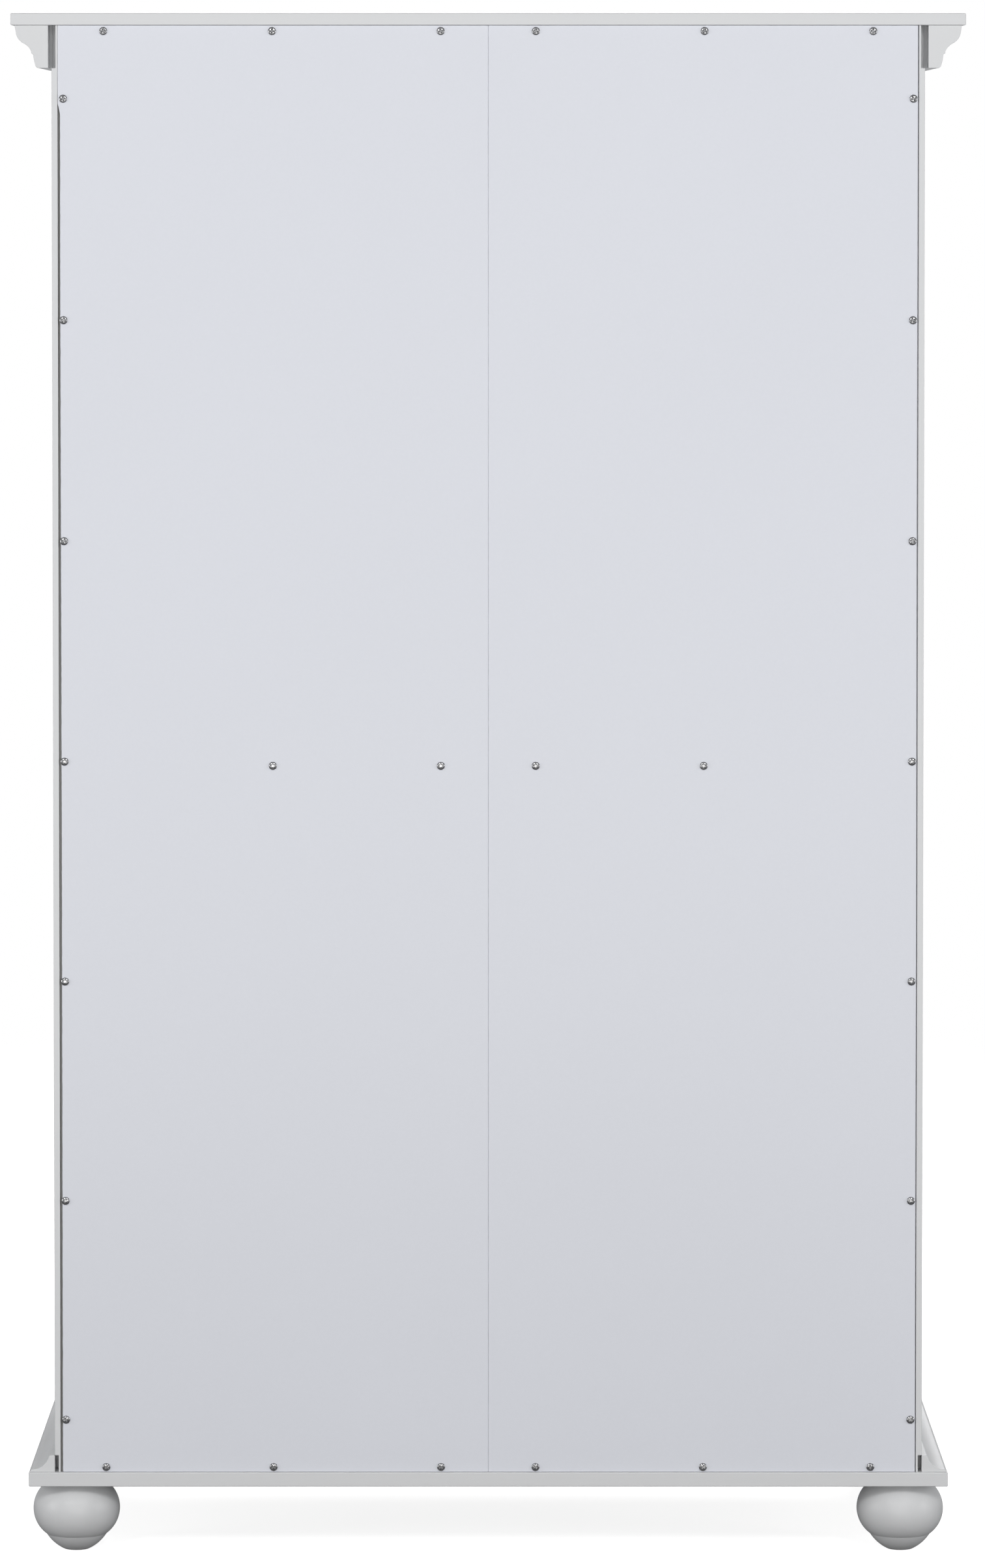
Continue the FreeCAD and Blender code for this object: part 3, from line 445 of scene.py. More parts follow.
def new_group(name, inputs, outputs):
    """A shader node group with named sockets, and its input and output nodes."""
    tree = bpy.data.node_groups.new(name, "ShaderNodeTree")
    for socket_name, kind, value in inputs:
        socket = tree.interface.new_socket(socket_name, in_out="INPUT", socket_type=kind)
        socket.default_value = value
    for socket_name, kind in outputs:
        tree.interface.new_socket(socket_name, in_out="OUTPUT", socket_type=kind)
    return tree, tree.nodes.new("NodeGroupInput").outputs, tree.nodes.new("NodeGroupOutput").inputs


COLOUR, NUMBER, VECTOR = "NodeSocketColor", "NodeSocketFloat", "NodeSocketVector"


def stretched_noise(tree, place, stretch, scale, detail=3.0, roughness=0.55, distortion=0.0):
    """The value of a noise texture squeezed along one axis."""
    mapped = put(tree, "ShaderNodeMapping", None, Vector=place, Scale=stretch)
    made = put(
        tree, "ShaderNodeTexNoise", None,
        Vector=mapped.outputs["Vector"], Scale=scale, Detail=detail,
        Roughness=roughness, Distortion=distortion)
    return made.outputs["Fac"]


def paint_film_group():
    """Sprayed satin paint: a fine stipple, the wood's grain under it and slow clouds of tone."""
    tree, given, out = new_group(
        "paint_film",
        [("Colour", COLOUR, (0.8, 0.8, 0.8, 1)), ("Grain", VECTOR, GRAIN_UPRIGHT),
         ("Tone", NUMBER, 0.04), ("Stipple Scale", NUMBER, 520.0),
         ("Low Roughness", NUMBER, 0.36), ("High Roughness", NUMBER, 0.52)],
        [("Colour", COLOUR), ("Roughness", NUMBER), ("Height", NUMBER)])
    place = tree.nodes.new("ShaderNodeTexCoord").outputs["Object"]
    grain = stretched_noise(tree, place, given["Grain"], 330.0, detail=4.0)
    stipple = stretched_noise(tree, place, EVEN, given["Stipple Scale"], detail=2.0)
    clouds = stretched_noise(tree, place, EVEN, 2.6, detail=4.0, roughness=0.6)
    slow = swing(tree, clouds, given["Tone"])
    fine = swing(tree, grain, 0.03)
    tone = maths(tree, "ADD", maths(tree, "ADD", slow, fine), 1.0)
    tree.links.new(toned(tree, given["Colour"], tone), out["Colour"])
    sheen = weighed(tree, stipple, 0.6, clouds, 0.4)
    tree.links.new(rough_between(tree, sheen, given), out["Roughness"])
    tree.links.new(weighed(tree, stipple, 0.6, grain, 0.5), out["Height"])
    return tree


def edge_wear_group():
    """Where an edge is rubbed: near a corner, broken up by noise."""
    tree, given, out = new_group(
        "edge_wear",
        [("Amount", NUMBER, 0.3), ("Reach", NUMBER, 1.5 * MM), ("Break Up", NUMBER, 70.0)],
        [("Mask", NUMBER)])
    rounded = put(tree, "ShaderNodeBevel", {"samples": 4}, Radius=given["Reach"])
    true = tree.nodes.new("ShaderNodeNewGeometry").outputs["Normal"]
    facing = put(tree, "ShaderNodeVectorMath", {"operation": "DOT_PRODUCT"})
    tree.links.new(rounded.outputs["Normal"], facing.inputs[0])
    tree.links.new(true, facing.inputs[1])
    edge = spread(tree, facing.outputs["Value"], 0.995, 0.86)
    place = tree.nodes.new("ShaderNodeTexCoord").outputs["Object"]
    patches = stretched_noise(tree, place, EVEN, given["Break Up"], detail=5.0, roughness=0.7)
    rubbed = spread(tree, patches, 0.46, 0.62)
    mask = maths(tree, "MULTIPLY", maths(tree, "MULTIPLY", edge, rubbed), given["Amount"], clamp=True)
    tree.links.new(mask, out["Mask"])
    return tree


def settled_dust_group():
    """Thin dust on what faces up."""
    tree, given, out = new_group(
        "settled_dust", [("Amount", NUMBER, 0.25), ("Patch Scale", NUMBER, 14.0)], [("Mask", NUMBER)])
    spot = tree.nodes.new("ShaderNodeTexCoord").outputs
    up = put(tree, "ShaderNodeSeparateXYZ", None, Vector=spot["Normal"]).outputs["Z"]
    flat = spread(tree, up, 0.55, 1.0)
    patches = stretched_noise(tree, spot["Object"], EVEN, given["Patch Scale"], detail=6.0)
    specks = stretched_noise(tree, spot["Object"], EVEN, 900.0, detail=1.0)
    lying = maths(tree, "MULTIPLY", spread(tree, patches, 0.3, 0.75), spread(tree, specks, 0.35, 0.7))
    mask = maths(tree, "MULTIPLY", maths(tree, "MULTIPLY", flat, lying), given["Amount"], clamp=True)
    tree.links.new(mask, out["Mask"])
    return tree


def painted_rebate_shade_group():
    """Painted shade in a rebate: what lies within a distance of the middle and behind a depth."""
    tree, given, out = new_group(
        "painted_rebate_shade", [("Within", NUMBER, 0.5), ("Behind", NUMBER, 0.27)], [("Mask", NUMBER)])
    place = tree.nodes.new("ShaderNodeTexCoord").outputs["Object"]
    spot = put(tree, "ShaderNodeSeparateXYZ", None, Vector=place).outputs
    within = maths(tree, "LESS_THAN", maths(tree, "ABSOLUTE", spot["X"]), given["Within"])
    behind = maths(tree, "GREATER_THAN", spot["Y"], given["Behind"])
    tree.links.new(maths(tree, "MULTIPLY", within, behind), out["Mask"])
    return tree


def wood_grain_group():
    """Bare timber: growth rings and fine fibres along the grain, and a slow drift of tone."""
    tree, given, out = new_group(
        "wood_grain",
        [("Pale", COLOUR, (0.7, 0.5, 0.3, 1)), ("Dark", COLOUR, (0.5, 0.3, 0.15, 1)),
         ("Grain", VECTOR, GRAIN_ACROSS), ("Ring Scale", NUMBER, 38.0), ("Figure", NUMBER, 0.6)],
        [("Colour", COLOUR), ("Roughness", NUMBER), ("Height", NUMBER)])
    place = tree.nodes.new("ShaderNodeTexCoord").outputs["Object"]
    rings = stretched_noise(tree, place, given["Grain"], given["Ring Scale"], detail=2.0, distortion=0.7)
    ring_turns = maths(tree, "MULTIPLY", rings, 42.0)
    bands = spread(tree, maths(tree, "SINE", ring_turns), -0.9, 0.95)
    fibres = stretched_noise(tree, place, given["Grain"], 620.0, detail=3.0)
    drift = stretched_noise(tree, place, EVEN, 5.0, detail=2.0)
    depth = maths(tree, "MULTIPLY", bands, given["Figure"])
    depth = maths(tree, "ADD", depth, swing(tree, fibres, 0.9))
    depth = maths(tree, "ADD", depth, swing(tree, drift, 0.6), clamp=True)
    tree.links.new(blended(tree, depth, given["Pale"], given["Dark"]), out["Colour"])
    tree.links.new(spread(tree, fibres, 0.3, 0.7, 0.42, 0.62), out["Roughness"])
    height = maths(tree, "SUBTRACT", fibres, maths(tree, "MULTIPLY", bands, 0.25))
    tree.links.new(height, out["Height"])
    return tree


def metal_finish_group():
    """Plated metal: faint brushing and smudges."""
    tree, given, out = new_group(
        "metal_finish",
        [("Colour", COLOUR, (0.6, 0.6, 0.6, 1)), ("Brush", VECTOR, EVEN),
         ("Low Roughness", NUMBER, 0.2), ("High Roughness", NUMBER, 0.4)],
        [("Colour", COLOUR), ("Roughness", NUMBER), ("Height", NUMBER)])
    place = tree.nodes.new("ShaderNodeTexCoord").outputs["Object"]
    brushed = stretched_noise(tree, place, given["Brush"], 2600.0, detail=2.0)
    smudges = stretched_noise(tree, place, EVEN, 130.0, detail=4.0, roughness=0.65)
    tone = maths(tree, "ADD", swing(tree, smudges, 0.35), 1.0)
    tree.links.new(toned(tree, given["Colour"], tone), out["Colour"])
    sheen = weighed(tree, brushed, 0.5, smudges, 0.5)
    tree.links.new(rough_between(tree, sheen, given), out["Roughness"])
    tree.links.new(brushed, out["Height"])
    return tree


GROUP_MAKERS = {
    "paint_film": paint_film_group,
    "edge_wear": edge_wear_group,
    "settled_dust": settled_dust_group,
    "painted_rebate_shade": painted_rebate_shade_group,
    "wood_grain": wood_grain_group,
    "metal_finish": metal_finish_group,
}


def effect(tree, name, **inputs):
    """Places a shared effect in a material, with its own values."""
    made = tree.nodes.new("ShaderNodeGroup")
    made.node_tree = bpy.data.node_groups.get(name) or GROUP_MAKERS[name]()
    for key, value in inputs.items():
        socket = made.inputs[key.replace("_", " ")]
        feed(tree, socket, value)
    return made.outputs


def new_material(name, colour, roughness, height, bump, **shader):
    """Finishes a material that the caller began, from its colour, roughness and height sockets.

    bump is (strength, distance), and shader holds plain values for the shader's own sockets.
    """
    material = bpy.data.materials[name]
    tree = material.node_tree
    surface = tree.nodes["Principled BSDF"]
    for key, value in shader.items():
        surface.inputs[key.replace("_", " ")].default_value = value
    tree.links.new(colour, surface.inputs["Base Color"])
    tree.links.new(roughness, surface.inputs["Roughness"])
    relief = put(tree, "ShaderNodeBump", None, Strength=bump[0], Distance=bump[1], Height=height)
    tree.links.new(relief.outputs["Normal"], surface.inputs["Normal"])
    return material


def blank_material(name):
    """An empty Principled material and its node tree."""
    material = bpy.data.materials.new(name)
    material.use_nodes = True
    return material.node_tree


def rgba(colour):
    """A colour with full alpha."""
    return (*colour, 1.0)


def paint_material(name, colour, grain, tone=0.04, rough=(0.36, 0.52), stipple=520.0,
                   bump=(0.35, 0.12 * MM), rebate=None):
    """Satin paint over timber, rubbed at the edges, with thin dust on top.

    rebate is (how far from the middle, behind what depth) the board is darkened as painted shade, for the
    shaded gap beside the back panel.
    """
    if name in bpy.data.materials:
        return bpy.data.materials[name]
    finishes = bpy.context.scene.armoire_finishes
    tree = blank_material(name)
    film = effect(
        tree, "paint_film", Colour=rgba(colour), Grain=grain, Tone=tone, Stipple_Scale=stipple,
        Low_Roughness=rough[0], High_Roughness=rough[1])
    wear = effect(tree, "edge_wear", Amount=finishes.wear)
    dust = effect(tree, "settled_dust", Amount=finishes.dust)
    shown = blended(tree, wear["Mask"], film["Colour"], rgba(finishes.primer))
    shown = blended(tree, dust["Mask"], shown, rgba(DUST_GREY))
    # Painted shade: a darker colour laid where the rebate's gap beside the back panel is in shade.
    if rebate:
        rebate_shade_mask = effect(tree, "painted_rebate_shade", Within=rebate[0], Behind=rebate[1])
        shown = blended(tree, rebate_shade_mask["Mask"], shown, rgba(finishes.rebate_shade_colour))
    roughness = maths(tree, "ADD", film["Roughness"], maths(tree, "MULTIPLY", dust["Mask"], 0.4), clamp=True)
    return new_material(
        name, shown, roughness, film["Height"], bump, Coat_Weight=0.12, Coat_Roughness=0.25)


def timber_material(name, pale, dark, grain, ring_scale, figure, coat):
    """Planed or lacquered bare timber."""
    if name in bpy.data.materials:
        return bpy.data.materials[name]
    tree = blank_material(name)
    wood = effect(
        tree, "wood_grain", Pale=rgba(pale), Dark=rgba(dark), Grain=grain,
        Ring_Scale=ring_scale, Figure=figure)
    return new_material(
        name, wood["Colour"], wood["Roughness"], wood["Height"], (0.3, 0.15 * MM),
        Coat_Weight=coat, Coat_Roughness=0.2)


def metal_material(name, colour, rough, brush=EVEN, bump=(0.12, 0.02 * MM), wear=0.0):
    """Plated metal, worn to bare metal where its edges are rubbed."""
    if name in bpy.data.materials:
        return bpy.data.materials[name]
    tree = blank_material(name)
    finish = effect(
        tree, "metal_finish", Colour=rgba(colour), Brush=brush,
        Low_Roughness=rough[0], High_Roughness=rough[1])
    shown = finish["Colour"]
    if wear:
        rubbed = effect(tree, "edge_wear", Amount=wear, Reach=0.4 * MM, Break_Up=500.0)
        shown = blended(tree, rubbed["Mask"], shown, rgba(RUBBED_METAL))
    return new_material(name, shown, finish["Roughness"], finish["Height"], bump, Metallic=1.0)


def plastic_material(name, colour):
    """Moulded plastic with a fine spark texture."""
    if name in bpy.data.materials:
        return bpy.data.materials[name]
    tree = blank_material(name)
    film = effect(
        tree, "paint_film", Colour=rgba(colour), Grain=EVEN, Tone=0.02, Stipple_Scale=1400.0,
        Low_Roughness=0.4, High_Roughness=0.5)
    return new_material(name, film["Colour"], film["Roughness"], film["Height"], (0.2, 0.05 * MM))


def paint_for(node):
    """The outside paint whose grain runs the way the node's wood does."""
    colour = bpy.context.scene.armoire_finishes.paint
    if node in ACROSS:
        return paint_material("satin_paint_across", colour, GRAIN_ACROSS)
    if node in FRONT_TO_BACK:
        return paint_material("satin_paint_front_to_back", colour, GRAIN_FRONT_TO_BACK)
    return paint_material("satin_paint_upright", colour, GRAIN_UPRIGHT)


def give(node, material):
    """Finishes a CAD node with a material."""
    for place in node_object(node).material_slots:
        place.material = material


def nickel():
    """Satin nickel of the knobs and hinges."""
    return metal_material("satin_nickel", bpy.context.scene.armoire_finishes.nickel, (0.24, 0.36))


def zinc():
    """Bright zinc of the small screws and studs."""
    return metal_material("zinc_plate", bpy.context.scene.armoire_finishes.zinc, (0.28, 0.42), wear=0.3)


# ---- Screws -----------------------------------------------------------------------------
def cross_cutter(reach, half_width, depth, top):
    """A tapering cross that a driver's tip fills, as a mesh."""
    floor_share = 0.42
    least_width, widening = 0.55, 0.45
    work = bmesh.new()
    rings = []
    for share, height in ((1.0, top), (floor_share, top - depth)):
        long = reach * share
        wide = half_width * (least_width + widening * share)
        corner = [(long, -wide), (long, wide), (wide, wide)]
        ring = []
        for quarter in range(4):
            turn = Matrix.Rotation(math.pi / 2 * quarter, 3, "Z")
            ring += [work.verts.new(turn @ Vector((x, y, height))) for x, y in corner]
        rings.append(ring)
    work.faces.new(rings[0])
    work.faces.new(list(reversed(rings[1])))
    for step in range(len(rings[0])):
        after = (step + 1) % len(rings[0])
        work.faces.new([rings[0][step], rings[0][after], rings[1][after], rings[1][step]])
    return mesh_from(work, "cross_cutter", smooth=False)


def screw_mesh(name, outline, recess, segments=40):
    """A screw along +Z with a cross recess; recess holds what cross_cutter needs."""
    work = bmesh.new()
    turned(work, outline, segments)
    body = bpy.data.objects.new(name, mesh_from(work, name, smooth=False))
    cutter = bpy.data.objects.new(name + "_cutter", cross_cutter(**recess))
    for made in (body, cutter):
        bpy.context.scene.collection.objects.link(made)
    cut = body.modifiers.new("Recess", "BOOLEAN")
    cut.operation = "DIFFERENCE"
    cut.solver = "EXACT"
    cut.object = cutter
    mesh = baked_mesh(body, name)
    bpy.data.objects.remove(cutter)
    mesh.shade_smooth()
    mesh.set_sharp_from_angle(angle=SCREW_CREASE)
    return mesh


def gathered(name, mesh, places):
    """One mesh that holds a copy of another at each of the places, given as matrices."""
    work = bmesh.new()
    for place in places:
        part = mesh.copy()
        part.transform(place)
        work.from_mesh(part)
        bpy.data.meshes.remove(part)
    gathered_mesh = bpy.data.meshes.new(name)
    work.to_mesh(gathered_mesh)
    work.free()
    gathered_mesh.shade_smooth()
    gathered_mesh.set_sharp_from_angle(angle=SCREW_CREASE)
    return gathered_mesh


def small_pan_head(radius):
    """A small pan-head screw along +Z, its head's underside at z = 0."""
    tall = radius * 0.5
    shank = radius * 0.4
    tip = -8 * MM
    outline = [(0, tip), (0.3 * MM, tip), (shank, -5.5 * MM), (shank, 0), (radius * 0.97, 0),
               (radius, tall * 0.15), (radius * 0.96, tall * 0.5), (radius * 0.78, tall * 0.82),
               (radius * 0.5, tall * 0.96), (0, tall)]
    recess = dict(reach=radius * 0.6, half_width=radius * 0.14, depth=tall * 0.8, top=tall + 0.1 * MM)
    return screw_mesh("small_pan_head", outline, recess, segments=28)


# ---- Operators --------------------------------------------------------------------------
class ARMOIRE_OT_paint_carcass(bpy.types.Operator):
    """Soften and paint the boards, rails, mouldings and feet outside, and the boards inside"""

    bl_idname = "armoire.paint_carcass"
    bl_label = "Paint the carcass"

    def execute(self, context):
        finishes = context.scene.armoire_finishes
        sizes = context.scene.armoire_sizes
        for node in UPRIGHT + ACROSS + FRONT_TO_BACK:
            give(node, paint_for(node))
            if node not in FEW_EDGES:
                soften_edges(node_object(node), sizes.board_edge)
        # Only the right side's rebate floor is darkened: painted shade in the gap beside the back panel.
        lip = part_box("side_frame_right")[1].x - sizes.side_lip
        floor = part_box("back_panel_right")[0].y
        shaded_rebate_paint = paint_material(
            "side_paint", finishes.paint, GRAIN_UPRIGHT, rebate=(lip + 0.1 * MM, floor - 0.1 * MM))
        give("side_frame_right", shaded_rebate_paint)
        inside = paint_material(
            "inside_paint", finishes.paint_inside, GRAIN_ACROSS, rough=(0.45, 0.6))
        for node in INSIDE_BOARDS:
            give(node, inside)
            soften_edges(node_object(node), sizes.board_edge)
        return {"FINISHED"}


class ARMOIRE_OT_hang_back_panels(bpy.types.Operator):
    """Build the two thin back panels, bowed between their screws and sawn a little unevenly"""

    bl_idname = "armoire.hang_back_panels"
    bl_label = "Hang the back panels"

    def execute(self, context):
        finishes = context.scene.armoire_finishes
        painted = paint_material(
            "back_board_paint", finishes.back, EVEN, tone=0.05, rough=(0.42, 0.58),
            stipple=380.0, bump=(0.4, 0.1 * MM))
        screws = [((low + high) / 2) for low, high in islands("back_screws")]
        for side, name in ((-1, "left"), (1, "right")):
            self.panel(context, side, "back_panel_" + name, painted, screws)
        return {"FINISHED"}

    def outer_edge(self, sizes, side, edge, z):
        """How far from the middle the sawn outer edge is at a height."""
        wanders_per_metre = 2.1
        chips_per_metre = 85.0
        wander = noise.noise(Vector((z * wanders_per_metre, 7.3 * side, 0.4))) * sizes.edge_wander
        if side < 0:
            return edge + sizes.left_edge_out + wander
        chips = abs(noise.noise(Vector((z * chips_per_metre, 3.1, 2.7)))) * sizes.edge_chip
        opening_over = 0.12 * sizes.closed_top
        below_top = (CAD_BOX[1].z - z - sizes.closed_top) / opening_over
        open_share = min(1.0, max(0.0, below_top))
        closed = edge + sizes.side_gap - 0.1 * MM
        return closed + (edge - sizes.right_edge_in + wander - chips - closed) * open_share

    def stand_off(self, sizes, side, screws, x, z):
        """How far the panel's face is from flat at a point: nothing at a screw, most between them."""
        flat_round_screw = 0.012
        rise_over = 0.14
        swells_per_metre = 3.1
        held = min((Vector((x - s.x, z - s.z)).length for s in screws), default=1.0)
        free = min(1.0, max(0.0, held - flat_round_screw) / rise_over)
        swell = noise.noise(Vector((x * swells_per_metre, z * swells_per_metre, 1.7 * side)))
        return swell * free * free * (3 - 2 * free) * sizes.back_bow

    def panel(self, context, side, node, material, screws):
        """One panel; side is -1 for the left one."""
        sizes = context.scene.armoire_sizes
        low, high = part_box(node)
        seam = min(abs(low.x), abs(high.x)) - sizes.seam_closed
        edge = max(abs(low.x), abs(high.x))
        own = [s for s in screws if s.x * side > 0]
        rows = 560
        # Columns of points, from the seam to the outer edge and closest together at both.
        shares = [0, 0.012, 0.06, 0.14, 0.25, 0.36, 0.47, 0.58, 0.69, 0.8, 0.9, 0.955, 0.98, 0.993, 1]
        work = bmesh.new()
        fronts = []
        backs = []
        for row in range(rows + 1):
            z = low.z + (high.z - low.z) * row / rows
            outer = self.outer_edge(sizes, side, edge, z)
            front = []
            for share in shares:
                x = side * (seam + (outer - seam) * share)
                y = high.y + self.stand_off(sizes, side, own, x, z)
                front.append(work.verts.new((x, y, z)))
            fronts.append(front)
            backs.append([work.verts.new((v.co.x, low.y, z)) for v in (front[0], front[-1])])
        for below, above, below_back, above_back in zip(fronts, fronts[1:], backs, backs[1:]):
            for a, b, c, d in zip(below, below[1:], above[1:], above):
                work.faces.new((a, b, c, d))
            work.faces.new((below_back[0], below_back[1], above_back[1], above_back[0]))
            work.faces.new((below[0], below_back[0], above_back[0], above[0]))
            work.faces.new((below[-1], below_back[-1], above_back[-1], above[-1]))
        for front, back in ((fronts[0], backs[0]), (fronts[-1], backs[-1])):
            work.faces.new(front + [back[1], back[0]])
        piece = new_piece(
            node.replace("panel", "board"), mesh_from(work, node), material, "root", (node,))
        round_edges(piece, sizes.back_edge)
        piece.modifiers["Soft edges"].use_clamp_overlap = False


class ARMOIRE_OT_drive_back_screws(bpy.types.Operator):
    """Make the pan-head screws that hold the back, each turned and leaning its own way"""

    bl_idname = "armoire.drive_back_screws"
    bl_label = "Drive the back screws"

    def execute(self, context):
        finishes = context.scene.armoire_finishes
        sizes = context.scene.armoire_sizes
        solids = islands("back_screws")
        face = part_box("back_panel_left")[1].y
        tall = solids[0][1].y - face
        length = face - solids[0][0].y
        radius = sizes.screw_radius
        shank = 1.9 * MM
        # The dome is a superellipse, fuller than a ball, on a low upright rim.
        rim, rise = 0.22, 0.78
        fullness = 0.7
        dome = [
            (radius * math.cos(math.radians(a)) ** fullness, tall * (rim + rise * math.sin(math.radians(a))))
            for a in (0, 12, 25, 38, 52, 66, 78)]
        outline = [(0, -length), (0.5 * MM, -length), (shank, shank * 2 - length), (shank, 0),
                   (radius * 0.97, 0), (radius, tall * 0.08)] + dome + [(0, tall)]
        recess = dict(reach=3.3 * MM, half_width=1.0 * MM, depth=1.9 * MM, top=tall + 0.2 * MM)
        one = screw_mesh("pan_head", outline, recess)
        draw = random.Random(41)
        places = []
        stand_up = Matrix.Rotation(-math.pi / 2, 4, "X")
        for low, high in solids:
            centre = (low + high) / 2
            lean_x = draw.uniform(-1, 1) * sizes.screw_lean
            lean_z = draw.uniform(-1, 1) * sizes.screw_lean
            spin = draw.uniform(0, math.pi / 2)
            places.append(
                Matrix.Translation((centre.x, face, centre.z))
                @ Matrix.Rotation(lean_x, 4, "X") @ Matrix.Rotation(lean_z, 4, "Z")
                @ stand_up @ Matrix.Rotation(spin, 4, "Z"))
        steel = metal_material(
            "plated_steel", finishes.screw_steel, (0.16, 0.32), bump=(0.2, 0.03 * MM), wear=0.3)
        new_piece(
            "back_screw_set", gathered("back_screw_set", one, places), steel,
            "root", ("back_screws",))
        bpy.data.meshes.remove(one)
        return {"FINISHED"}


class ARMOIRE_OT_finish_timber(bpy.types.Operator):
    """Give the batten, packers, runners and drawer boxes their bare timber"""

    bl_idname = "armoire.finish_timber"
    bl_label = "Finish the bare timber"

    def execute(self, context):
        finishes = context.scene.armoire_finishes
        sizes = context.scene.armoire_sizes
        pine_up = timber_material(
            "planed_pine_upright", finishes.softwood_pale, finishes.softwood_dark,
            GRAIN_UPRIGHT, ring_scale=30.0, figure=0.55, coat=0.0)
        pine_deep = timber_material(
            "planed_pine_front_to_back", finishes.softwood_pale, finishes.softwood_dark,
            GRAIN_FRONT_TO_BACK, ring_scale=30.0, figure=0.55, coat=0.0)
        birch_deep = timber_material(
            "lacquered_birch", finishes.birch_pale, finishes.birch_dark,
            GRAIN_DRAWER_BOX, ring_scale=22.0, figure=0.4, coat=0.25)
        birch_across = timber_material(
            "birch_ply", finishes.birch_pale, finishes.birch_dark,
            GRAIN_ACROSS, ring_scale=16.0, figure=0.35, coat=0.2)
        finished = {"back_seam_batten": pine_up, "runner_packers": pine_deep, "drawer_runners": pine_deep}
        for number in DRAWERS:
            finished["drawer_%d_box_boards" % number] = birch_deep
            finished["drawer_%d_bottom" % number] = birch_across
        for node, material in finished.items():
            give(node, material)
            soften_edges(node_object(node), sizes.board_edge)
        return {"FINISHED"}


class ARMOIRE_OT_fit_metalwork(bpy.types.Operator):
    """Finish the hinge pins, knobs, studs and hanging rail"""

    bl_idname = "armoire.fit_metalwork"
    bl_label = "Fit the metalwork"

    def execute(self, context):
        finishes = context.scene.armoire_finishes
        for node in ("hinge_pins", "door_left_knob", "door_right_knob"):
            give(node, nickel())
        for number in DRAWERS:
            give("drawer_%d_knobs" % number, nickel())
        give("foot_studs", zinc())
        chrome = metal_material(
            "bright_chrome", finishes.chrome, (0.06, 0.14), brush=BRUSHED_ALONG, bump=(0.05, 0.01 * MM))
        for node in ("hanging_rail", "rail_sockets"):
            give(node, chrome)
        return {"FINISHED"}


class ARMOIRE_OT_fit_hinges(bpy.types.Operator):
    """Countersink every hinge leaf and drive its screws"""

    bl_idname = "armoire.fit_hinges"
    bl_label = "Fit the hinges"

    def execute(self, context):
        sizes = context.scene.armoire_sizes
        radius = sizes.leaf_screw
        deep = 2.2 * MM
        tip = -14 * MM
        hole = radius * 0.5
        rim = radius * 1.04
        sink = [(0, -deep), (hole, -deep), (hole, -deep * 0.8), (rim, -0.1 * MM), (rim, MM), (0, MM)]
        head = [(0, tip), (0.4 * MM, tip), (1.3 * MM, -11 * MM), (1.4 * MM, -deep * 0.8),
                (radius, -0.3 * MM), (radius * 0.98, -0.16 * MM), (radius * 0.8, -0.08 * MM), (0, -0.06 * MM)]
        recess = dict(reach=2.0 * MM, half_width=0.45 * MM, depth=1.2 * MM, top=0)
        screw = screw_mesh("hinge_screw", head, recess, segments=28)
        work = bmesh.new()
        turned(work, sink, 28)
        cutter = mesh_from(work, "countersink", smooth=False)
        for node, body in (("hinge_frame_leaves", "root"), ("door_left_hardware", "door_left"),
                           ("door_right_hardware", "door_right")):
            places = self.screw_places(sizes, node)
            leaves = carved(node, gathered(node + "_sinks", cutter, places), node + "_drilled")
            new_piece(node + "_drilled", leaves, nickel(), body, (node,))
            screws = gathered(node + "_screws", screw, places)
            new_piece(node + "_screws", screws, nickel(), body)
        for mesh in (screw, cutter):
            bpy.data.meshes.remove(mesh)
        return {"FINISHED"}

    def screw_places(self, sizes, node):
        """Where the screws of a node's leaves sit, head outwards."""
        pins = islands("hinge_pins")
        axis = max(high.x for low, high in pins)
        axis -= (pins[0][1].x - pins[0][0].x) / 2
        own_side = -1 if node == "hinge_frame_leaves" else 1
        draw = random.Random(7)
        places = []
        for low, high in islands(node):
            if high.z - low.z < 2 * sizes.leaf_screw_pitch:
                continue
            cabinet_side = 1 if low.x > 0 else -1
            plate = -cabinet_side * own_side
            face = Vector(
                (cabinet_side * axis + plate * sizes.leaf_gap / 2, high.y - sizes.leaf_depth / 2, 0))
            for step in (-1, 0, 1):
                face.z = (low.z + high.z) / 2 + step * sizes.leaf_screw_pitch
                places.append(
                    Matrix.Translation(face) @ Matrix.Rotation(-plate * math.pi / 2, 4, "Y")
                    @ Matrix.Rotation(draw.uniform(0, math.pi / 2), 4, "Z"))
        return places


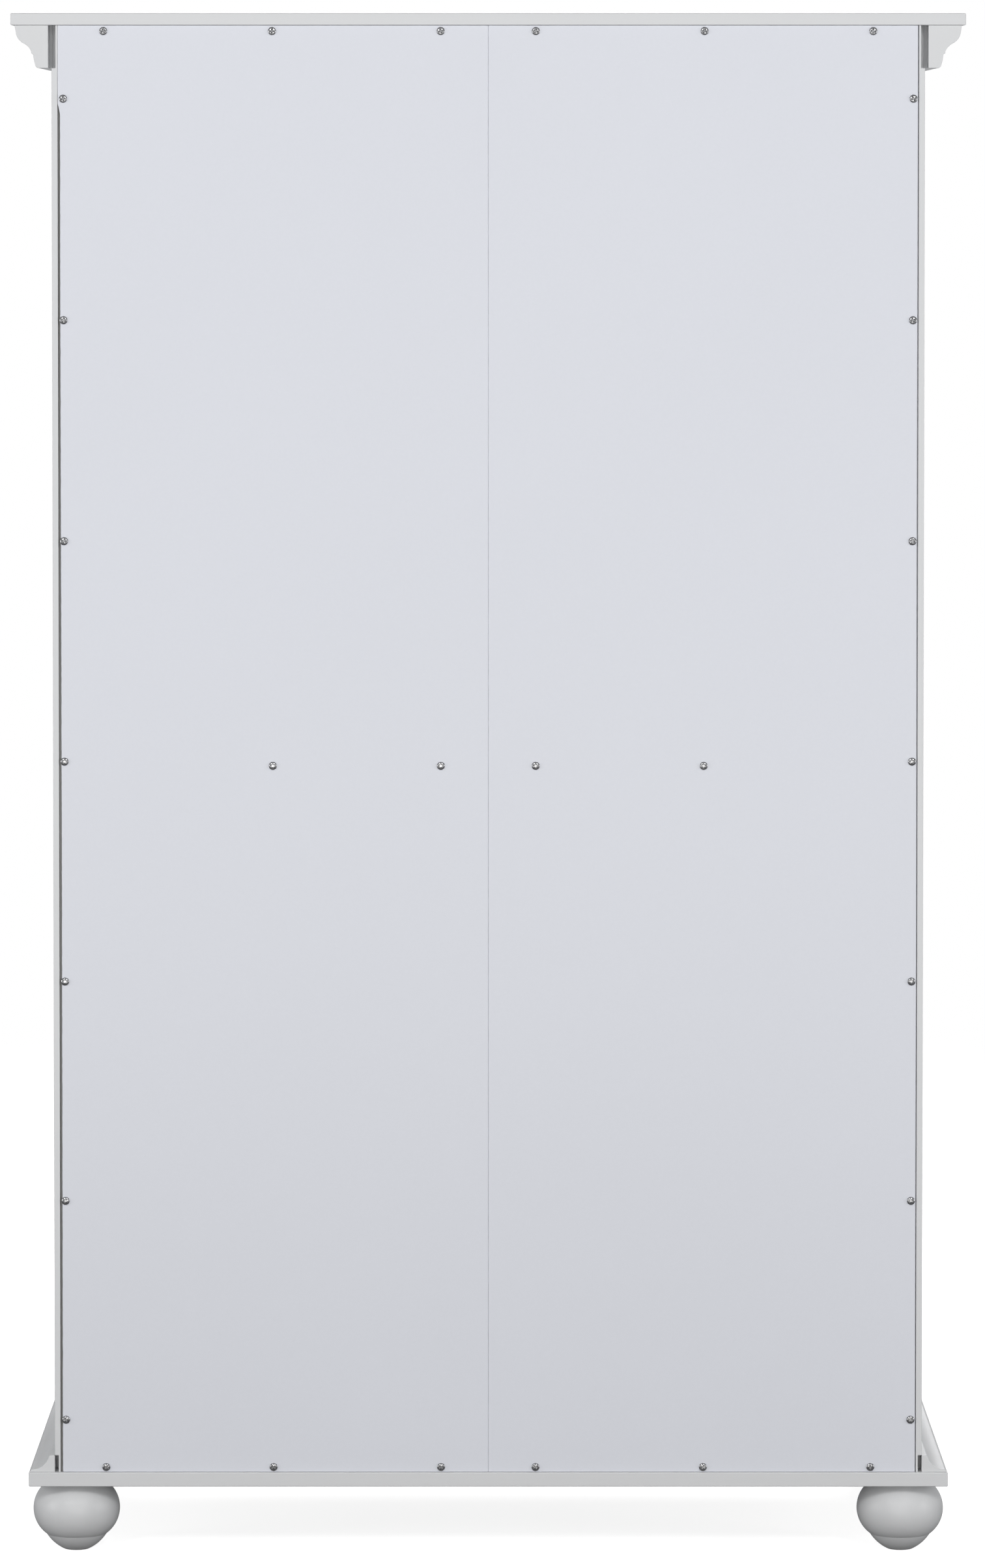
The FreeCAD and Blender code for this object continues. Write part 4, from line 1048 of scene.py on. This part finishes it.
class ARMOIRE_OT_fit_catches(bpy.types.Operator):
    """Build the magnetic catches: housing with ears, pole plates and screws"""

    bl_idname = "armoire.fit_catches"
    bl_label = "Fit the catches"

    def execute(self, context):
        finishes = context.scene.armoire_finishes
        pole_setback = 0.6 * MM
        ear_height = 3 * MM
        pole_heights = (3.2 * MM, 9.0 * MM)
        pole_thickness = 1.6 * MM
        housings = bmesh.new()
        poles = bmesh.new()
        places = []
        for low, high in islands("door_catches"):
            middle = (low + high) / 2
            width = (high.x - low.x)
            front = low.y + pole_setback
            half_housing = width * 0.34
            half_pole = width * 0.26
            add_block(
                housings, (middle.x - half_housing, front, low.z), (middle.x + half_housing, high.y, high.z))
            ear_y = (low.y + 5 * MM, high.y - 4 * MM)
            ear_top = low.z + ear_height
            for end in (-1, 1):
                inner = middle.x + end * width * 0.30
                outer = middle.x + end * width * 0.5
                add_block(
                    housings, (min(inner, outer), ear_y[0], low.z), (max(inner, outer), ear_y[1], ear_top))
                places.append(
                    Matrix.Translation((middle.x + end * width * 0.42, sum(ear_y) / 2, ear_top)))
            for lift in pole_heights:
                add_block(
                    poles, (middle.x - half_pole, low.y + 0.1 * MM, low.z + lift),
                    (middle.x + half_pole, high.y - 3 * MM, low.z + lift + pole_thickness))
        plastic = plastic_material("moulded_plastic", finishes.plastic)
        housing = new_piece(
            "catch_housings", mesh_from(housings, "catch_housings"), plastic, "root",
            ("door_catches",))
        pole = new_piece("catch_poles", mesh_from(poles, "catch_poles"), zinc(), "root")
        round_edges(housing, 0.9 * MM)
        round_edges(pole, 0.2 * MM)
        screw = small_pan_head(2.6 * MM)
        new_piece("catch_screws", gathered("catch_screws", screw, places), zinc(), "root")
        bpy.data.meshes.remove(screw)
        return {"FINISHED"}


class ARMOIRE_OT_drive_small_screws(bpy.types.Operator):
    """Drive the screws of the rail sockets, and those that hold the knobs from inside"""

    bl_idname = "armoire.drive_small_screws"
    bl_label = "Drive the small screws"

    def execute(self, context):
        self.into_sockets(small_pan_head(2.5 * MM))
        self.into_knobs(small_pan_head(4.0 * MM))
        return {"FINISHED"}

    def into_sockets(self, screw):
        """Three screws through the flange of each rail socket."""
        flange_thickness = 3 * MM
        in_from_rim = 3.2 * MM
        places = []
        for low, high in islands("rail_sockets"):
            side = 1 if low.x > 0 else -1
            flange = (high.x if side > 0 else low.x) - side * flange_thickness
            centre = Vector((flange, (low.y + high.y) / 2, (low.z + high.z) / 2))
            ring = (high.z - low.z) / 2 - in_from_rim
            for turn in (90, 210, 330):
                spot = centre + Vector((0, math.cos(math.radians(turn)), math.sin(math.radians(turn)))) * ring
                places.append(
                    Matrix.Translation(spot) @ Matrix.Rotation(-side * math.pi / 2, 4, "Y")
                    @ Matrix.Rotation(math.radians(turn * 1.7), 4, "Z"))
        new_piece("socket_screws", gathered("socket_screws", screw, places), zinc(), "root")
        bpy.data.meshes.remove(screw)

    def into_knobs(self, screw):
        """One screw from inside for every knob."""
        held = [("door_left", "door_left_knob", "door_left_stiles"),
                ("door_right", "door_right_knob", "door_right_stiles")]
        held += [("drawer_%d" % n, "drawer_%d_knobs" % n, "drawer_%d_front" % n) for n in DRAWERS]
        for body, knobs, wood in held:
            inner_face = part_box(wood)[1].y
            places = [
                Matrix.Translation(((low.x + high.x) / 2, inner_face, (low.z + high.z) / 2))
                @ Matrix.Rotation(-math.pi / 2, 4, "X") @ Matrix.Rotation(0.4 + low.x, 4, "Z")
                for low, high in islands(knobs)]
            name = body + "_knob_screws"
            new_piece(name, gathered(name, screw, places), zinc(), body)
        bpy.data.meshes.remove(screw)


class ARMOIRE_OT_set_stage(bpy.types.Operator):
    """Set up the floor, the light and the camera"""

    bl_idname = "armoire.set_stage"
    bl_label = "Set the stage"

    def execute(self, context):
        studio = context.scene.armoire_studio
        context.scene.view_settings.view_transform = "Standard"
        self.floor()
        self.world(context, studio.sky)
        rear = CAD_BOX[1].y
        self.softboxes(studio, rear, CAD_BOX[1].z / 2)
        self.camera(context, studio, rear)
        return {"FINISHED"}

    def softboxes(self, studio, rear, middle):
        """One light before the armoire, three behind it and one at each side."""
        low_tint = (1, 0.985, 0.95)
        self.softbox("front_softbox", (-0.8, -5.0, 3.3), (0, 0, middle), (3.0, 2.2), studio.front_light)
        self.softbox(
            "low_softbox", (0, rear + 4.5, 0.35), (0, rear, 0.25), (3.2, 0.5), studio.low_light, low_tint)
        for side, name in ((-1, "left"), (1, "right")):
            self.softbox(
                "back_" + name + "_softbox", (side * 1.8 + 0.15, rear + 4.9, 3.4), (0, rear, middle),
                (1.2, 1.0), studio.back_light)
            self.softbox(
                name + "_softbox", (side * 4.2, rear + 1.6, 1.1), (0, 0, middle),
                (1.2, 1.8), studio.side_light)

    def floor(self):
        """A pale disc that fades into the backdrop."""
        radius = 6.0
        fade_from, fade_to = 1.0, 5.0
        mottle_scale = 3.0
        first_tone, second_tone = (0.91, 0.90, 0.885), (0.94, 0.93, 0.915)
        # Light bounces off a darker floor than the one that is seen, and the seen one glows a little.
        bounce_tone = (0.20, 0.20, 0.20)
        glow = 0.83
        work = bmesh.new()
        bmesh.ops.create_circle(work, cap_ends=True, radius=radius, segments=96)
        mesh = mesh_from(work, "studio_floor", smooth=False)
        floor = bpy.data.objects.new("studio_floor", mesh)
        bpy.context.scene.collection.objects.link(floor)
        material = bpy.data.materials.new("studio_floor")
        material.use_nodes = True
        tree = material.node_tree
        surface = tree.nodes["Principled BSDF"]
        surface.inputs["Roughness"].default_value = 0.75
        seen = tree.nodes.new("ShaderNodeLightPath").outputs["Is Camera Ray"]
        place = tree.nodes.new("ShaderNodeTexCoord").outputs["Object"]
        mottle = stretched_noise(tree, place, EVEN, mottle_scale)
        pale = blended(tree, mottle, rgba(first_tone), rgba(second_tone))
        tree.links.new(blended(tree, seen, rgba(bounce_tone), pale), surface.inputs["Base Color"])
        surface.inputs["Emission Color"].default_value = (1, 1, 1, 1)
        tree.links.new(maths(tree, "MULTIPLY", seen, glow), surface.inputs["Emission Strength"])
        away = put(tree, "ShaderNodeVectorMath", {"operation": "LENGTH"})
        tree.links.new(place, away.inputs[0])
        shown = spread(tree, away.outputs["Value"], fade_from, fade_to, 1.0, 0.0)
        tree.links.new(shown, surface.inputs["Alpha"])
        mesh.materials.append(material)

    def world(self, context, strength):
        """White where it is seen; the light it gives is strongest level and from front and back."""
        overhead = 0.35
        underfoot = 0.9
        from_sides = 0.55
        world = bpy.data.worlds.new("studio")
        world.use_nodes = True
        context.scene.world = world
        tree = world.node_tree
        tree.nodes.clear()
        towards = put(
            tree, "ShaderNodeSeparateXYZ", None,
            Vector=tree.nodes.new("ShaderNodeTexCoord").outputs["Generated"]).outputs
        up = towards["Z"]
        sideways = spread(tree, maths(tree, "ABSOLUTE", towards["X"]), 0.3, 1.0, 1.0, from_sides)
        above = spread(tree, up, 0.0, 1.0, 1.0, overhead, smooth=False)
        below = spread(tree, up, -0.4, 0.0, underfoot, 1.0)
        level = maths(tree, "MULTIPLY", maths(tree, "MULTIPLY", above, below), sideways)
        lighting = tree.nodes.new("ShaderNodeBackground")
        lighting.inputs["Color"].default_value = (0.97, 0.985, 1.0, 1)
        tree.links.new(maths(tree, "MULTIPLY", level, strength), lighting.inputs["Strength"])
        backdrop = tree.nodes.new("ShaderNodeBackground")
        backdrop.inputs["Color"].default_value = (1, 1, 1, 1)
        chosen = tree.nodes.new("ShaderNodeMixShader")
        seen = tree.nodes.new("ShaderNodeLightPath").outputs["Is Camera Ray"]
        tree.links.new(seen, chosen.inputs[0])
        tree.links.new(lighting.outputs[0], chosen.inputs[1])
        tree.links.new(backdrop.outputs[0], chosen.inputs[2])
        output = tree.nodes.new("ShaderNodeOutputWorld")
        tree.links.new(chosen.outputs[0], output.inputs["Surface"])

    def softbox(self, name, place, target, size, power, tint=(1, 1, 1)):
        """A soft rectangular light that looks at a point."""
        data = bpy.data.lights.new(name, "AREA")
        data.shape = "RECTANGLE"
        data.size, data.size_y = size
        data.energy = power
        data.color = tint
        lamp = bpy.data.objects.new(name, data)
        lamp.location = place
        lamp.rotation_euler = (Vector(target) - Vector(place)).to_track_quat("-Z", "Y").to_euler()
        bpy.context.scene.collection.objects.link(lamp)

    def camera(self, context, studio, rear):
        """A long lens straight behind the armoire, at eye height and looking a little down."""
        data = bpy.data.cameras.new("studio_camera")
        data.lens = studio.lens
        data.sensor_width = 36.0
        data.sensor_fit = "AUTO"
        data.shift_x = studio.shift_x
        data.shift_y = studio.shift_y
        data.clip_end = 100.0
        camera = bpy.data.objects.new("studio_camera", data)
        camera.location = (0, rear + studio.camera_distance, studio.eye_height)
        camera.rotation_euler = (math.pi / 2 - studio.pitch, 0, math.pi)
        context.scene.collection.objects.link(camera)
        context.scene.camera = camera


# ---- Add-on -----------------------------------------------------------------------------
OPERATORS = (
    ARMOIRE_OT_paint_carcass,
    ARMOIRE_OT_hang_back_panels,
    ARMOIRE_OT_drive_back_screws,
    ARMOIRE_OT_finish_timber,
    ARMOIRE_OT_fit_metalwork,
    ARMOIRE_OT_fit_hinges,
    ARMOIRE_OT_fit_catches,
    ARMOIRE_OT_drive_small_screws,
    ARMOIRE_OT_set_stage,
)
GROUPS = {
    "armoire_finishes": ARMOIRE_PG_finishes,
    "armoire_sizes": ARMOIRE_PG_sizes,
    "armoire_studio": ARMOIRE_PG_studio,
}


class ARMOIRE_PT_panel(bpy.types.Panel):
    """Lists what can be built, with the sizes and colours it uses"""

    bl_idname = "ARMOIRE_PT_panel"
    bl_label = "Armoire"
    bl_space_type = "VIEW_3D"
    bl_region_type = "UI"
    bl_category = "Armoire"

    def draw(self, context):
        for operator in OPERATORS:
            self.layout.operator(operator.bl_idname)
        for name, group in GROUPS.items():
            box = self.layout.box()
            for key in group.__annotations__:
                box.prop(getattr(context.scene, name), key)


def register():
    """Adds the classes and the scene's own settings."""
    for made in (*GROUPS.values(), *OPERATORS, ARMOIRE_PT_panel):
        bpy.utils.register_class(made)
    for name, group in GROUPS.items():
        setattr(bpy.types.Scene, name, bpy.props.PointerProperty(type=group))


def unregister():
    """Takes them away again."""
    for name in GROUPS:
        delattr(bpy.types.Scene, name)
    for made in (ARMOIRE_PT_panel, *reversed(OPERATORS), *GROUPS.values()):
        bpy.utils.unregister_class(made)


def main():
    """Builds everything in order."""
    register()
    bpy.ops.armoire.paint_carcass()
    bpy.ops.armoire.hang_back_panels()
    bpy.ops.armoire.drive_back_screws()
    bpy.ops.armoire.finish_timber()
    bpy.ops.armoire.fit_metalwork()
    bpy.ops.armoire.fit_hinges()
    bpy.ops.armoire.fit_catches()
    bpy.ops.armoire.drive_small_screws()
    bpy.ops.armoire.set_stage()


if __name__ == "__main__":
    main()
